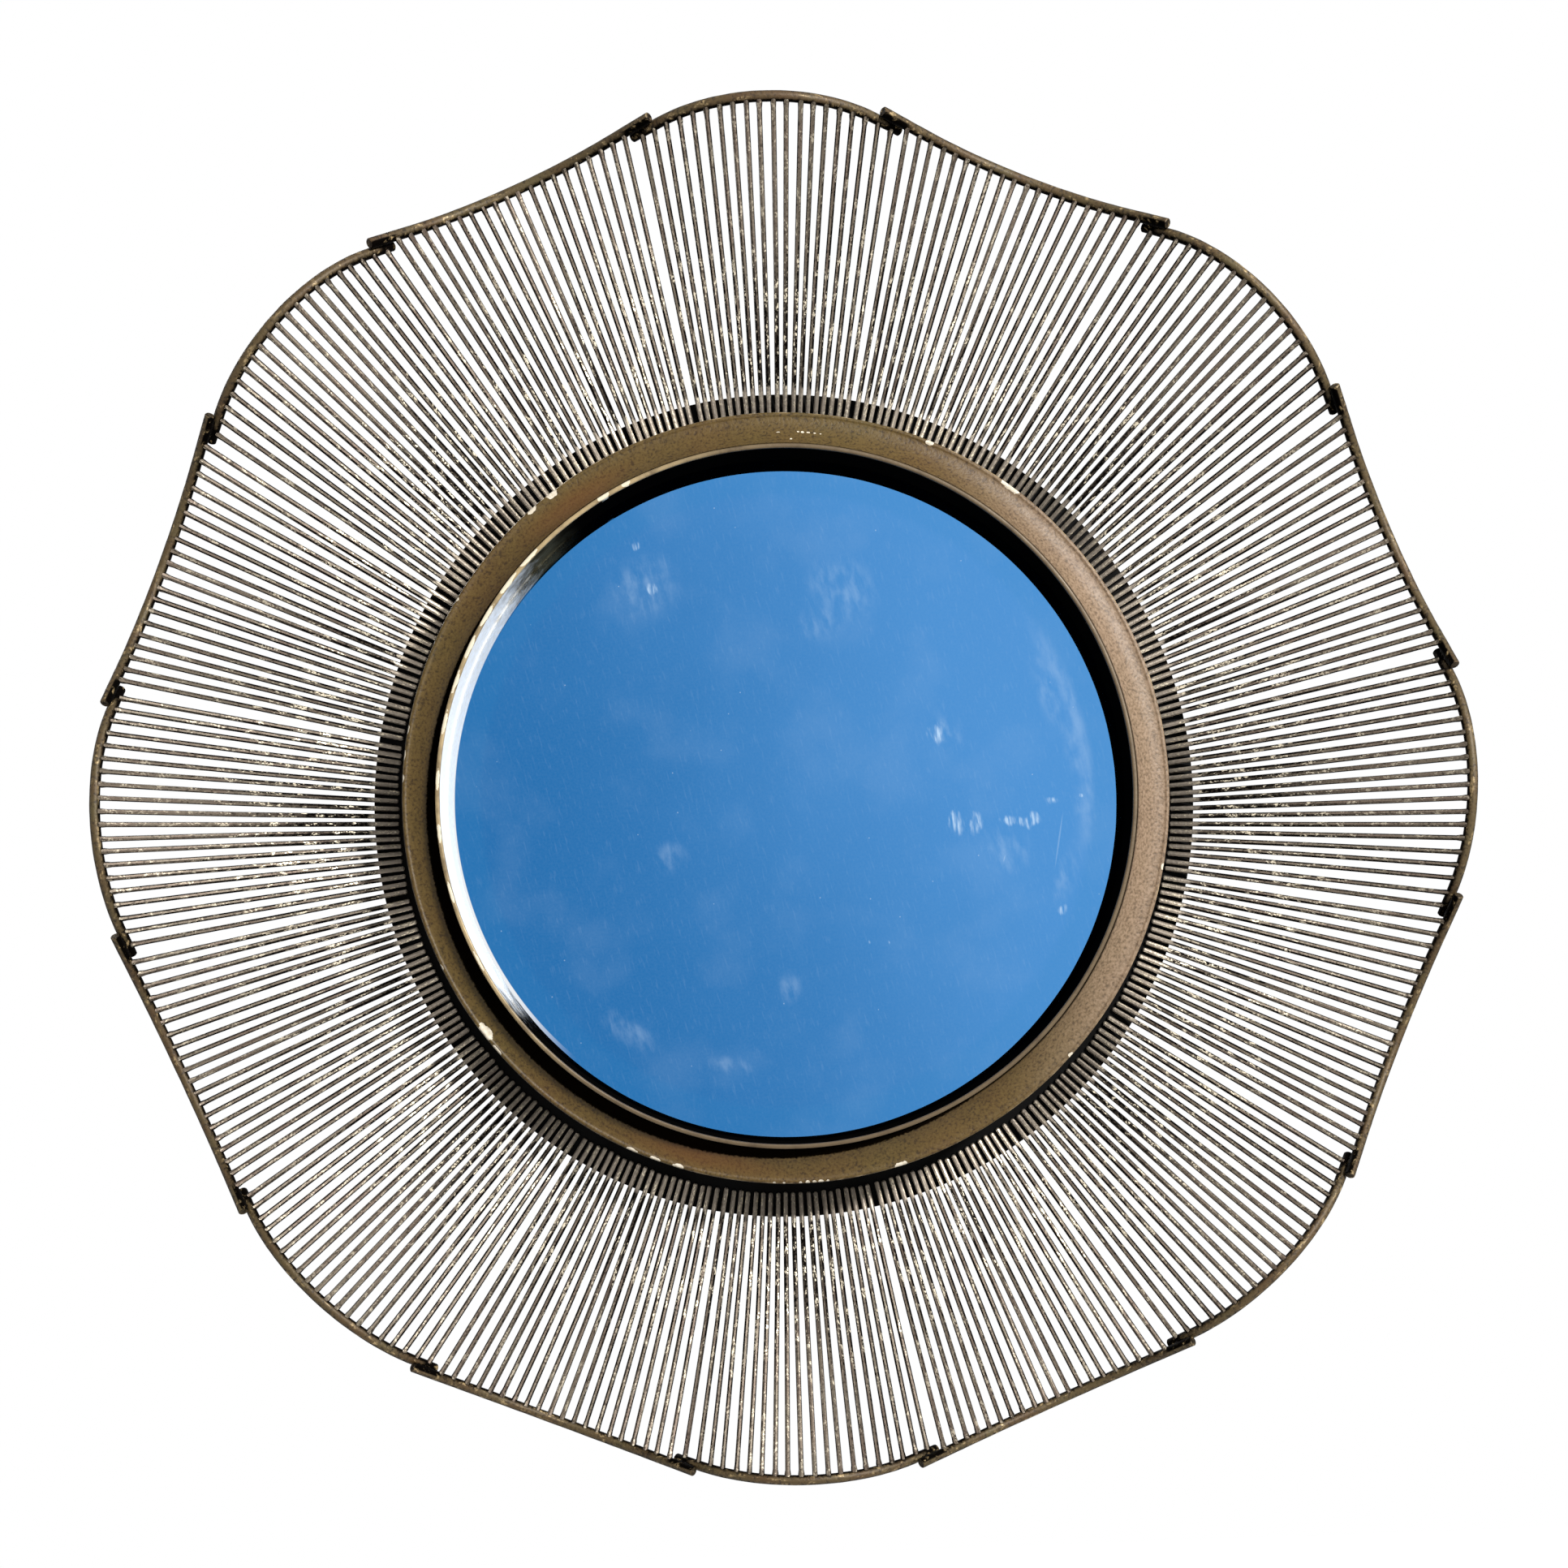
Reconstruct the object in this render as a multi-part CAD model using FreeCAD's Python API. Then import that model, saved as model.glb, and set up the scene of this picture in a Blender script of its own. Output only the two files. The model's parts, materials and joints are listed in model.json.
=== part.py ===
import FreeCAD, Part
import math
import os

os.makedirs("parts", exist_ok=True)

Vector = FreeCAD.Vector

# Round wall mirror in a drum, with a sunburst of straight wires that ends in a waving rim.
# Millimetres. The wall is the plane y = 0, the mirror faces -Y and +Z is up.
# A depth is a distance forward from the wall, so a point at some depth has y = -depth.
# An angle is measured clockwise from the top, as someone who faces the mirror sees it.

# Small gaps that welded, riveted and seated pieces keep from each other
seat_gap = 0.2
hole_clearance = 0.1
cut_overrun = 1.0

# Recess in front of the glass, and the steel hoop round it
mirror_opening_radius = 225.5
hoop_wall = 3.0
hoop_length = 30.0
hoop_proud = 5.5

# Mirror glass, the cork shims behind it and the board that closes the back
glass_thickness = 4.0
glass_overlap = 5.5
glass_side_clearance = 0.5
shim_count = 8
shim_length = 22.0
shim_width = 12.0
shim_thickness = 3.0
shim_inset = 12.0
board_thickness = 3.0
board_side_clearance = 1.0

# Cast front ring: a cove that falls from the hoop to a beaded outer edge
ring_clearance = 0.3
ring_boss_width = 9.7
ring_overhang = 10.0
ring_edge_thickness = 7.0
ring_back_chamfer = 1.0
cove_rise = 11.0
crown_land = 1.5
bead_radius = 1.75
bead_step = 0.5

# Drum wall and the flat hub plate behind it
drum_wall = 1.5
drum_height = 56.0
hub_plate_thickness = 2.0
hub_plate_ledge = 61.5
hub_reach = 14.5
hub_weld_lap = 15.5

# Rubber bumpers between the hub plate and the wall
bumper_count = 6
bumper_radius = 10.0
bumper_thickness = 6.0
bumper_inset = 33.0
bumper_edge_round = 1.0

# Sunburst of wires and the bars of the waving rim
panel_pairs = 8
wires_per_panel = 20
wire_diameter = 3.2
wire_reach = 179.5
wire_spacing_share = 0.987
bar_diameter = 6.8
bar_gap = 1.9
lap_angle = 75.0
bar_end_straight = 20.0
lap_setback = 8.5
crest_rise = 31.0
trough_fall = 31.0
crest_overrun = 1.0
trough_overrun = 15.0

# Screws that hold the board and the ring
screw_count = 8
screw_radius = 1.5
screw_head_radius = 3.0
screw_head_height = 1.8
screw_grip = 7.0
screw_slot_width = 0.8
screw_slot_depth = 0.9

# Angle brackets that join the drum wall to the hub plate, and their rivets
bracket_count = 8
bracket_leg = 14.0
bracket_width = 14.0
bracket_thickness = 1.5
rivet_radius = 1.6
rivet_head_radius = 3.0
rivet_head_height = 1.0

# Hangers: a strap with a rolled eye, and a D ring that swings in it
hanger_angle = 33.0
hanger_inset = 3.0
strap_width = 14.0
strap_length = 40.0
strap_thickness = 1.2
eye_wall = 1.2
ring_wire_radius = 1.25
eye_clearance = 0.3
d_ring_half_width = 11.0
d_ring_leg = 6.0
strap_rivet_offset = 9.5
strap_rivet_spacing = 20.0

# Radii, from the recess outwards
hoop_outer_radius = mirror_opening_radius + hoop_wall
ring_inner_radius = hoop_outer_radius + ring_clearance
glass_radius = mirror_opening_radius + glass_overlap
rebate_radius = glass_radius + glass_side_clearance
boss_radius = rebate_radius + ring_boss_width
drum_inner_radius = boss_radius + ring_clearance
drum_radius = drum_inner_radius + drum_wall
ring_radius = drum_radius + ring_overhang
hub_radius = ring_radius + hub_reach
hub_plate_radius = hub_radius + hub_weld_lap
hub_opening_radius = drum_inner_radius - hub_plate_ledge
rim_radius = hub_radius + wire_reach
board_radius = drum_inner_radius - board_side_clearance
screw_circle_radius = (rebate_radius + boss_radius) / 2

# Depths, from the wall forwards
hub_back_depth = bumper_thickness
hub_front_depth = hub_back_depth + hub_plate_thickness
drum_front_depth = hub_front_depth + drum_height
ring_edge_depth = drum_front_depth + ring_edge_thickness
crown_depth = ring_edge_depth + cove_rise
hoop_front_depth = crown_depth + hoop_proud
glass_front_depth = hoop_front_depth - hoop_length
glass_back_depth = glass_front_depth - glass_thickness
board_front_depth = glass_back_depth - shim_thickness
board_back_depth = board_front_depth - board_thickness
lap_depth = ring_edge_depth - lap_setback
lap_out = (bar_diameter + bar_gap) / 2 * math.cos(math.radians(lap_angle))
lap_forward = (bar_diameter + bar_gap) / 2 * math.sin(math.radians(lap_angle))

# Angles of the sunburst
panel_angle = 360.0 / (2 * panel_pairs)
half_panel = math.radians(panel_angle / 2)
wire_angle = math.radians(panel_angle * wire_spacing_share / wires_per_panel)

wire_radius = wire_diameter / 2
bar_radius = bar_diameter / 2
toward_viewer = Vector(0, -1, 0)
wall_axis = Vector(0, 1, 0)


def section_point(radius, depth):
    """A point of a turned section, in the half plane above the axis."""
    return Vector(0, -depth, radius)


def path_edges(points):
    """Edges through points. A tuple of two points is an arc's middle and its end."""
    edges = []
    last = points[0]
    for step in points[1:]:
        if isinstance(step, tuple):
            edges.append(Part.Arc(last, step[0], step[1]).toShape())
            last = step[1]
        else:
            edges.append(Part.LineSegment(last, step).toShape())
            last = step
    return edges


def face_from(points):
    return Part.Face(Part.Wire(path_edges(points + [points[0]])))


def turned(points):
    """A ring or disc about the mirror's axis, from its section."""
    return face_from(points).revolve(Vector(0, 0, 0), wall_axis, 360)


def rotated_copies(shape, count, first_angle=0.0):
    """Copies of a shape at even steps clockwise round the mirror's axis."""
    copies = []
    for index in range(count):
        copy = shape.copy()
        copy.rotate(Vector(0, 0, 0), wall_axis, first_angle + index * 360.0 / count)
        copies.append(copy)
    return copies


def drilled(shape, cutters):
    return shape.cut(Part.makeCompound(cutters))


def save(name, solids):
    """One STEP file per node. A node of several pieces is a group of separate solids."""
    shape = solids[0] if len(solids) == 1 else Part.makeCompound(solids)
    shape.exportStep("parts/" + name + ".step")
    print(name, len(solids), "volume", round(sum(solid.Volume for solid in solids), 1))


def cap_middle(base_radius, height):
    """Half way along a round cap's section: its radius and its height above the base."""
    sphere = (base_radius**2 + height**2) / (2 * height)
    angle = math.asin(min(1.0, base_radius / sphere)) / 2
    return sphere * math.sin(angle), height - sphere * (1 - math.cos(angle))


# Fasteners, made along +Z with the head's seat at z = 0 and the shank above it


def spun(points):
    """A solid turned about the Z axis, from (radius, height) points and arcs."""
    placed = []
    for step in points:
        if isinstance(step[0], tuple):
            placed.append(tuple(Vector(radius, 0, height) for radius, height in step))
        else:
            placed.append(Vector(step[0], 0, step[1]))
    return face_from(placed).revolve(Vector(0, 0, 0), Vector(0, 0, 1), 360)


def screw(length):
    middle_radius, middle_height = cap_middle(screw_head_radius, screw_head_height)
    body = spun([
        (0, -screw_head_height),
        ((middle_radius, -middle_height), (screw_head_radius, 0)),
        (screw_radius, 0),
        (screw_radius, length - screw_radius),
        (0, length),
    ])
    slot = Part.makeBox(2 * screw_head_radius, screw_slot_width, screw_slot_depth + cut_overrun)
    slot.translate(Vector(-screw_head_radius, -screw_slot_width / 2, -screw_head_height - cut_overrun))
    return body.cut(slot)


def rivet(grip):
    middle_radius, middle_height = cap_middle(rivet_head_radius, rivet_head_height)
    return spun([
        (0, -rivet_head_height),
        ((middle_radius, -middle_height), (rivet_head_radius, 0)),
        (rivet_radius, 0),
        (rivet_radius, grip),
        (rivet_head_radius, grip),
        ((middle_radius, grip + middle_height), (0, grip + rivet_head_height)),
    ])


def aimed(shape, start, direction):
    """A shape made along +Z, moved so that it starts at a point and runs in a direction."""
    copy = shape.copy()
    copy.Placement = FreeCAD.Placement(start, FreeCAD.Rotation(Vector(0, 0, 1), direction))
    return copy


def drill(radius, start, direction, length):
    """A cutter for a hole, a little longer than the hole at both ends."""
    unit = Vector(direction).normalize()
    return Part.makeCylinder(radius, length + 2 * cut_overrun, start - unit * cut_overrun, unit)


# Where the fasteners go, at the top of the mirror

board_screw_seat = section_point(screw_circle_radius, board_back_depth)
ring_screw_depth = (drum_front_depth + board_front_depth) / 2
ring_screw_seat = section_point(drum_radius, ring_screw_depth)
bracket_face = math.sqrt((drum_inner_radius - seat_gap) ** 2 - (bracket_width / 2) ** 2)
plate_rivet_seat = section_point(bracket_face - bracket_leg / 2, hub_back_depth)
plate_rivet_grip = hub_plate_thickness + bracket_thickness
wall_rivet_seat = section_point(drum_radius, hub_front_depth + bracket_leg / 2)
wall_rivet_grip = drum_radius - bracket_face + bracket_thickness
inward = Vector(0, 0, -1)
screw_hole_radius = screw_radius + hole_clearance
rivet_hole_radius = rivet_radius + hole_clearance
half_screw_step = 180.0 / screw_count
half_bracket_step = 180.0 / bracket_count


def hanger_pivot(side):
    """Middle of a D ring's straight bar. Side is -1 at the left and 1 at the right."""
    radius = drum_inner_radius - hanger_inset
    angle = math.radians(hanger_angle)
    depth = hub_back_depth - eye_wall - eye_clearance - ring_wire_radius
    return Vector(side * radius * math.sin(angle), -depth, radius * math.cos(angle))


def strap_rivet_seats(side):
    pivot = hanger_pivot(side)
    seats = []
    for index in range(2):
        height = pivot.z - strap_rivet_offset - index * strap_rivet_spacing
        seats.append(Vector(pivot.x, strap_thickness - hub_back_depth, height))
    return seats


strap_rivet_grip = strap_thickness + hub_plate_thickness
all_strap_rivet_seats = strap_rivet_seats(-1) + strap_rivet_seats(1)

# Drum: hoop, ring, glass and what stands behind them


def mirror_hoop():
    middle_radius = mirror_opening_radius + hoop_wall / 2
    round_start = hoop_front_depth - hoop_wall / 2
    return turned([
        section_point(mirror_opening_radius, glass_front_depth),
        section_point(mirror_opening_radius, round_start),
        (section_point(middle_radius, hoop_front_depth), section_point(hoop_outer_radius, round_start)),
        section_point(hoop_outer_radius, glass_front_depth),
    ])


def front_ring():
    cove_start = ring_inner_radius + crown_land
    cove_end = ring_radius - 2 * bead_radius
    cove_width = cove_end - cove_start
    cove_radius = (cove_width**2 + cove_rise**2) / (2 * cove_rise)
    middle_angle = math.asin(min(1.0, cove_width / cove_radius)) / 2
    middle_radius = cove_end - cove_radius * math.sin(middle_angle)
    middle_depth = ring_edge_depth + cove_radius * (1 - math.cos(middle_angle))
    bead_base = ring_edge_depth - bead_step
    ring = turned([
        section_point(ring_inner_radius, glass_front_depth),
        section_point(ring_inner_radius, crown_depth),
        section_point(cove_start, crown_depth),
        (section_point(middle_radius, middle_depth), section_point(cove_end, ring_edge_depth)),
        section_point(cove_end, bead_base),
        (section_point(ring_radius - bead_radius, bead_base + bead_radius), section_point(ring_radius, bead_base)),
        section_point(ring_radius, drum_front_depth + ring_back_chamfer),
        section_point(ring_radius - ring_back_chamfer, drum_front_depth),
        section_point(boss_radius, drum_front_depth),
        section_point(boss_radius, board_front_depth),
        section_point(rebate_radius, board_front_depth),
        section_point(rebate_radius, glass_front_depth),
    ])
    back_hole = drill(screw_hole_radius, board_screw_seat, toward_viewer, board_thickness + screw_grip)
    side_hole = drill(screw_hole_radius, ring_screw_seat, inward, drum_wall + screw_grip)
    holes = rotated_copies(back_hole, screw_count, half_screw_step)
    holes += rotated_copies(side_hole, screw_count)
    return drilled(ring, holes)


def mirror_glass():
    return turned([
        section_point(0, glass_back_depth),
        section_point(0, glass_front_depth),
        section_point(glass_radius, glass_front_depth),
        section_point(glass_radius, glass_back_depth),
    ])


def glass_shims():
    shim = Part.makeBox(shim_length, shim_thickness, shim_width)
    height = glass_radius - shim_inset - shim_width
    shim.translate(Vector(-shim_length / 2, -glass_back_depth, height))
    return rotated_copies(shim, shim_count)


def backing_board():
    board = turned([
        section_point(0, board_back_depth),
        section_point(0, board_front_depth),
        section_point(board_radius, board_front_depth),
        section_point(board_radius, board_back_depth),
    ])
    hole = drill(screw_hole_radius, board_screw_seat, toward_viewer, board_thickness)
    return drilled(board, rotated_copies(hole, screw_count, half_screw_step))


def board_screws():
    one = aimed(screw(board_thickness + screw_grip), board_screw_seat, toward_viewer)
    return rotated_copies(one, screw_count, half_screw_step)


def ring_screws():
    seat = ring_screw_seat + Vector(0, 0, seat_gap)
    one = aimed(screw(drum_wall + screw_grip), seat, inward)
    return rotated_copies(one, screw_count)


def drum_shell():
    wall = turned([
        section_point(drum_inner_radius, hub_front_depth),
        section_point(drum_inner_radius, drum_front_depth),
        section_point(drum_radius, drum_front_depth),
        section_point(drum_radius, hub_front_depth),
    ])
    screw_hole = drill(screw_hole_radius, ring_screw_seat, inward, drum_wall)
    rivet_hole = drill(rivet_hole_radius, wall_rivet_seat, inward, drum_wall)
    holes = rotated_copies(screw_hole, screw_count)
    holes += rotated_copies(rivet_hole, bracket_count, half_bracket_step)
    return drilled(wall, holes)


def hub_plate():
    plate = turned([
        section_point(hub_opening_radius, hub_back_depth),
        section_point(hub_opening_radius, hub_front_depth),
        section_point(hub_plate_radius, hub_front_depth),
        section_point(hub_plate_radius, hub_back_depth),
    ])
    bracket_hole = drill(rivet_hole_radius, plate_rivet_seat, toward_viewer, hub_plate_thickness)
    holes = rotated_copies(bracket_hole, bracket_count, half_bracket_step)
    for seat in all_strap_rivet_seats:
        holes.append(drill(rivet_hole_radius, seat, toward_viewer, strap_rivet_grip))
    return drilled(plate, holes)


def drum_brackets():
    """Angle brackets inside the drum: one leg on the hub plate, the other on the wall."""
    inner = bracket_face - bracket_thickness
    foot_front = hub_front_depth + bracket_thickness
    profile = face_from([
        section_point(bracket_face - bracket_leg, hub_front_depth),
        section_point(bracket_face, hub_front_depth),
        section_point(bracket_face, hub_front_depth + bracket_leg),
        section_point(inner, hub_front_depth + bracket_leg),
        section_point(inner, foot_front),
        section_point(bracket_face - bracket_leg, foot_front),
    ])
    bracket = profile.extrude(Vector(bracket_width, 0, 0))
    bracket.translate(Vector(-bracket_width / 2, 0, 0))
    foot_hole = drill(rivet_hole_radius, plate_rivet_seat, toward_viewer, plate_rivet_grip)
    wall_hole = drill(rivet_hole_radius, wall_rivet_seat, inward, wall_rivet_grip)
    bracket = drilled(bracket, [foot_hole, wall_hole])
    return rotated_copies(bracket, bracket_count, half_bracket_step)


def bracket_rivets():
    foot = aimed(rivet(plate_rivet_grip), plate_rivet_seat, toward_viewer)
    side_seat = wall_rivet_seat + Vector(0, 0, seat_gap)
    side = aimed(rivet(wall_rivet_grip + seat_gap), side_seat, inward)
    copies = rotated_copies(foot, bracket_count, half_bracket_step)
    return copies + rotated_copies(side, bracket_count, half_bracket_step)


def wall_bumpers():
    """Rubber discs with a rounded edge where they meet the wall."""
    straight = bumper_thickness - bumper_edge_round
    corner = bumper_edge_round * (1 - math.sqrt(0.5))
    disc = spun([
        (0, 0),
        (bumper_radius, 0),
        (bumper_radius, straight),
        ((bumper_radius - corner, bumper_thickness - corner), (bumper_radius - bumper_edge_round, bumper_thickness)),
        (0, bumper_thickness),
    ])
    one = aimed(disc, section_point(hub_plate_radius - bumper_inset, hub_back_depth), wall_axis)
    return rotated_copies(one, bumper_count)


# Hangers


def hanger_strap(side):
    """A strap with two rivet holes, rolled into an eye at its top."""
    pivot = hanger_pivot(side)
    bore_radius = ring_wire_radius + eye_clearance
    half_width = Vector(strap_width / 2, 0, 0)
    plate = Part.makeBox(strap_width, strap_thickness, strap_length)
    plate.translate(Vector(pivot.x, -hub_back_depth, pivot.z - strap_length) - half_width)
    across = Vector(1, 0, 0)
    eye = Part.makeCylinder(bore_radius + eye_wall, strap_width, pivot - half_width, across)
    bore = Part.makeCylinder(bore_radius, strap_width + 2 * cut_overrun, pivot - half_width - across * cut_overrun, across)
    strap = plate.fuse(eye).removeSplitter().cut(bore)
    holes = [drill(rivet_hole_radius, seat, toward_viewer, strap_thickness) for seat in strap_rivet_seats(side)]
    return drilled(strap, holes)


def hanger_ring(side):
    """A D ring of round wire, hanging straight down from its bar."""
    pivot = hanger_pivot(side)
    left = pivot - Vector(d_ring_half_width, 0, 0)
    right = pivot + Vector(d_ring_half_width, 0, 0)
    drop = Vector(0, 0, -d_ring_leg)
    bar = Part.makeCylinder(ring_wire_radius, 2 * d_ring_half_width, left, Vector(1, 0, 0))
    pieces = [Part.makeSphere(ring_wire_radius, end) for end in (left, right)]
    pieces += [Part.makeCylinder(ring_wire_radius, d_ring_leg, end, drop) for end in (left, right)]
    bow_start = Part.Circle(right + drop, Vector(0, 0, 1), ring_wire_radius).toShape()
    bow = Part.Face(Part.Wire([bow_start])).revolve(pivot + drop, wall_axis, 180)
    pieces.append(bow)
    return bar.multiFuse(pieces).removeSplitter()


def hanger_rivets():
    return [aimed(rivet(strap_rivet_grip), seat, toward_viewer) for seat in all_strap_rivet_seats]


# Rim bars, made at the top of the mirror and then turned to their place


class RimBar:
    """One bar of the rim: an arc between two straight ends, in a plane that leans from
    the lap up to the crest, or down to the trough. Side is -1 for a crest bar, which lies
    inside and behind at the lap, and 1 for a trough bar, which lies outside and in front."""

    def __init__(self, side, apex_depth, overrun):
        radius = rim_radius + side * lap_out
        rise = apex_depth - lap_depth - side * lap_forward
        half_chord = radius * math.sin(half_panel)
        across = radius * (1 - math.cos(half_panel))
        sagitta = math.hypot(across, rise)
        self.end_angle = 2 * math.atan(sagitta / (half_chord + bar_end_straight))
        straight_run = bar_end_straight * math.cos(self.end_angle)
        self.arc_radius = (half_chord - straight_run) / math.sin(self.end_angle)
        self.arc_half_width = self.arc_radius * math.sin(self.end_angle)
        self.apex = section_point(radius, apex_depth)
        self.lean = Vector(0, rise, -across) * (1 / sagitta)
        self.half_length = half_chord + overrun * math.cos(self.end_angle)

    def drop(self, offset):
        """How far the bar's middle line has left its apex, at an offset along the chord."""
        if abs(offset) <= self.arc_half_width:
            return self.arc_radius - math.sqrt(self.arc_radius**2 - offset**2)
        arc_drop = self.arc_radius * (1 - math.cos(self.end_angle))
        return arc_drop + (abs(offset) - self.arc_half_width) * math.tan(self.end_angle)

    def point(self, offset):
        return self.apex + Vector(offset, 0, 0) + self.lean * self.drop(offset)

    def tangent(self, offset):
        angle = self.end_angle
        if abs(offset) <= self.arc_half_width:
            angle = math.asin(abs(offset) / self.arc_radius)
        side = 1 if offset >= 0 else -1
        return Vector(math.cos(angle), 0, 0) + self.lean * (side * math.sin(angle))

    def solid(self):
        start = self.point(-self.half_length)
        arc_end = self.point(self.arc_half_width)
        path = Part.Wire(path_edges([
            start,
            self.point(-self.arc_half_width),
            (self.apex, arc_end),
            self.point(self.half_length),
        ]))
        profile = Part.Wire([Part.Circle(start, self.tangent(-self.half_length), bar_radius).toShape()])
        return Part.Solid(path.makePipeShell([profile], True, False))


def wire(bar, offset):
    """A straight wire from the hub plate to the inner side of a rim bar. Its inner end is round."""
    target = bar.point(offset)
    angle = math.atan2(target.x, target.z)
    start_depth = hub_front_depth + seat_gap + wire_radius
    start = Vector(hub_radius * math.sin(angle), -start_depth, hub_radius * math.cos(angle))
    span = target - start
    direction = Vector(span).normalize()
    along = abs(direction.dot(bar.tangent(offset)))
    stop = (bar_radius + seat_gap + wire_radius * along) / math.sqrt(1 - along**2)
    length = span.Length - stop
    round_middle = wire_radius * math.sqrt(0.5)
    body = spun([
        (0, -wire_radius),
        ((round_middle, -round_middle), (wire_radius, 0)),
        (wire_radius, length),
        (0, length),
    ])
    return aimed(body, start, direction)


def panel_wires(bar):
    middle = (wires_per_panel - 1) / 2
    return [wire(bar, rim_radius * math.sin((index - middle) * wire_angle)) for index in range(wires_per_panel)]


def save_panels(name, bar, first_angle):
    """The same bar and its wires at every second panel round the rim."""
    wires = Part.makeCompound(panel_wires(bar))
    bars = rotated_copies(bar.solid(), panel_pairs, first_angle)
    fans = rotated_copies(wires, panel_pairs, first_angle)
    for index in range(panel_pairs):
        save(name + "_bar_" + str(index + 1), [bars[index]])
        save(name + "_wires_" + str(index + 1), fans[index].Solids)


crest_bar = RimBar(-1, lap_depth + crest_rise, crest_overrun)
trough_bar = RimBar(1, lap_depth - trough_fall, trough_overrun)
save_panels("crest", crest_bar, 0.0)
save_panels("trough", trough_bar, panel_angle)
save("front_ring", [front_ring()])
save("mirror_hoop", [mirror_hoop()])
save("mirror_glass", [mirror_glass()])
save("glass_shims", glass_shims())
save("backing_board", [backing_board()])
save("board_screws", board_screws())
save("ring_screws", ring_screws())
save("drum_shell", [drum_shell()])
save("hub_plate", [hub_plate()])
save("drum_brackets", drum_brackets())
save("bracket_rivets", bracket_rivets())
save("wall_bumpers", wall_bumpers())
save("hanger_rivets", hanger_rivets())
for side_name, side in (("left", -1), ("right", 1)):
    save("hanger_strap_" + side_name, [hanger_strap(side)])
    save("hanger_ring_" + side_name, [hanger_ring(side)])
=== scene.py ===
# %% [markdown]
# # A wave mirror
# A round wall mirror lies in a recess, with a hoop and a cast ring round it. Straight wires fan out from
# a plate behind the ring, and bent bars join their ends into a rim that waves forwards and back.
# The CAD model gives every size. This script dresses it: it makes finer pieces where the CAD solids are
# plain, gives everything a finish, and sets up the floor, the lamps and the camera.

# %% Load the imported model
import json
import math
import random

import bmesh
import bpy
from mathutils import Matrix, Vector, noise

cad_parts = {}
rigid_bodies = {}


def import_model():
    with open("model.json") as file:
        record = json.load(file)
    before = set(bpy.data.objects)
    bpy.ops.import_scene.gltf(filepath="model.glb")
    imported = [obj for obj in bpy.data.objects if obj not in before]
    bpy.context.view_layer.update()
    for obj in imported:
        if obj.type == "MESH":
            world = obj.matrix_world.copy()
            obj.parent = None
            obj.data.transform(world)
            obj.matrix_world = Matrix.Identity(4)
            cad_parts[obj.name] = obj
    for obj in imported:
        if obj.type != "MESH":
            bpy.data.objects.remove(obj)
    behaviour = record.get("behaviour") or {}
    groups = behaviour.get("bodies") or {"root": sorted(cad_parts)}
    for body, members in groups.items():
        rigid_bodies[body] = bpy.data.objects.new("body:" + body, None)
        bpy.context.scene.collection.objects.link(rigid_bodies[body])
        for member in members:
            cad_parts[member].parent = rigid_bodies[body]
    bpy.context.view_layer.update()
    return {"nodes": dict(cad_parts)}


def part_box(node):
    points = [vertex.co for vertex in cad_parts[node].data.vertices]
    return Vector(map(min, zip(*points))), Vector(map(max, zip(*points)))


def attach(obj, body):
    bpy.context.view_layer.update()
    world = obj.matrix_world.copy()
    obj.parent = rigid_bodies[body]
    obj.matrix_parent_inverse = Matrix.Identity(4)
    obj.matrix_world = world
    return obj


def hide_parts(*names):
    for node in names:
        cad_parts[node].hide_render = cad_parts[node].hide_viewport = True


for old in list(bpy.data.objects):
    bpy.data.objects.remove(old)
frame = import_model()
print("CAD nodes:", len(frame["nodes"]))

# %% [markdown]
# Sizes come from the CAD nodes' own boxes, so the script can't drift away from the model.
# A depth is a distance forward from the wall, which is the plane y = 0. The mirror faces -Y. An angle is
# measured clockwise from the top, as someone who faces the mirror sees it.

# %% Sizes read from the frame
mm = 0.001


def outer_radius(node):
    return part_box(node)[1].z


def depth_range(node):
    """Back and front of a node, as distances forward from the wall."""
    low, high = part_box(node)
    return -high.y, -low.y


hoop_radius = outer_radius("mirror_hoop")
ring_radius = outer_radius("front_ring")
drum_radius = outer_radius("drum_shell")
plate_radius = outer_radius("hub_plate")
glass_front = depth_range("mirror_glass")[1]
hoop_front = depth_range("mirror_hoop")[1]
plate_back, plate_front = depth_range("hub_plate")
drum_back, drum_front = depth_range("drum_shell")
bar_radius = 3.4 * mm
crest_depth = depth_range("crest_bar_1")[1] - bar_radius
trough_depth = depth_range("trough_bar_1")[0] + bar_radius
print("ring", round(ring_radius / mm, 1), "hoop front", round(hoop_front / mm, 1), "mm")
print("crests", round(crest_depth / mm, 1), "troughs", round(trough_depth / mm, 1), "mm off the wall")

# %% [markdown]
# ## Finishes
# Colours are written as the sRGB hex values that an eye would pick, and one function turns them linear.
# One more function adds a node of any kind, sets it, links it and gives one of its outputs. A finish is
# built up like the real one, as coats that lie over each other where a mask lets them.

# %% Colour and node helpers


def linear(text):
    """An sRGB hex colour as a linear colour with full alpha."""
    channels = [int(text[i:i + 2], 16) / 255 for i in (0, 2, 4)]
    lifted = [c / 12.92 if c <= 0.04045 else ((c + 0.055) / 1.055) ** 2.4 for c in channels]
    return (*lifted, 1.0)


def connect(tree, node, inputs):
    """Sets a node's inputs. They map a socket's name or number to a value, or to a socket to link from."""
    for name, value in inputs.items():
        if isinstance(value, bpy.types.NodeSocket):
            tree.links.new(value, node.inputs[name])
        else:
            node.inputs[name].default_value = value


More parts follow.
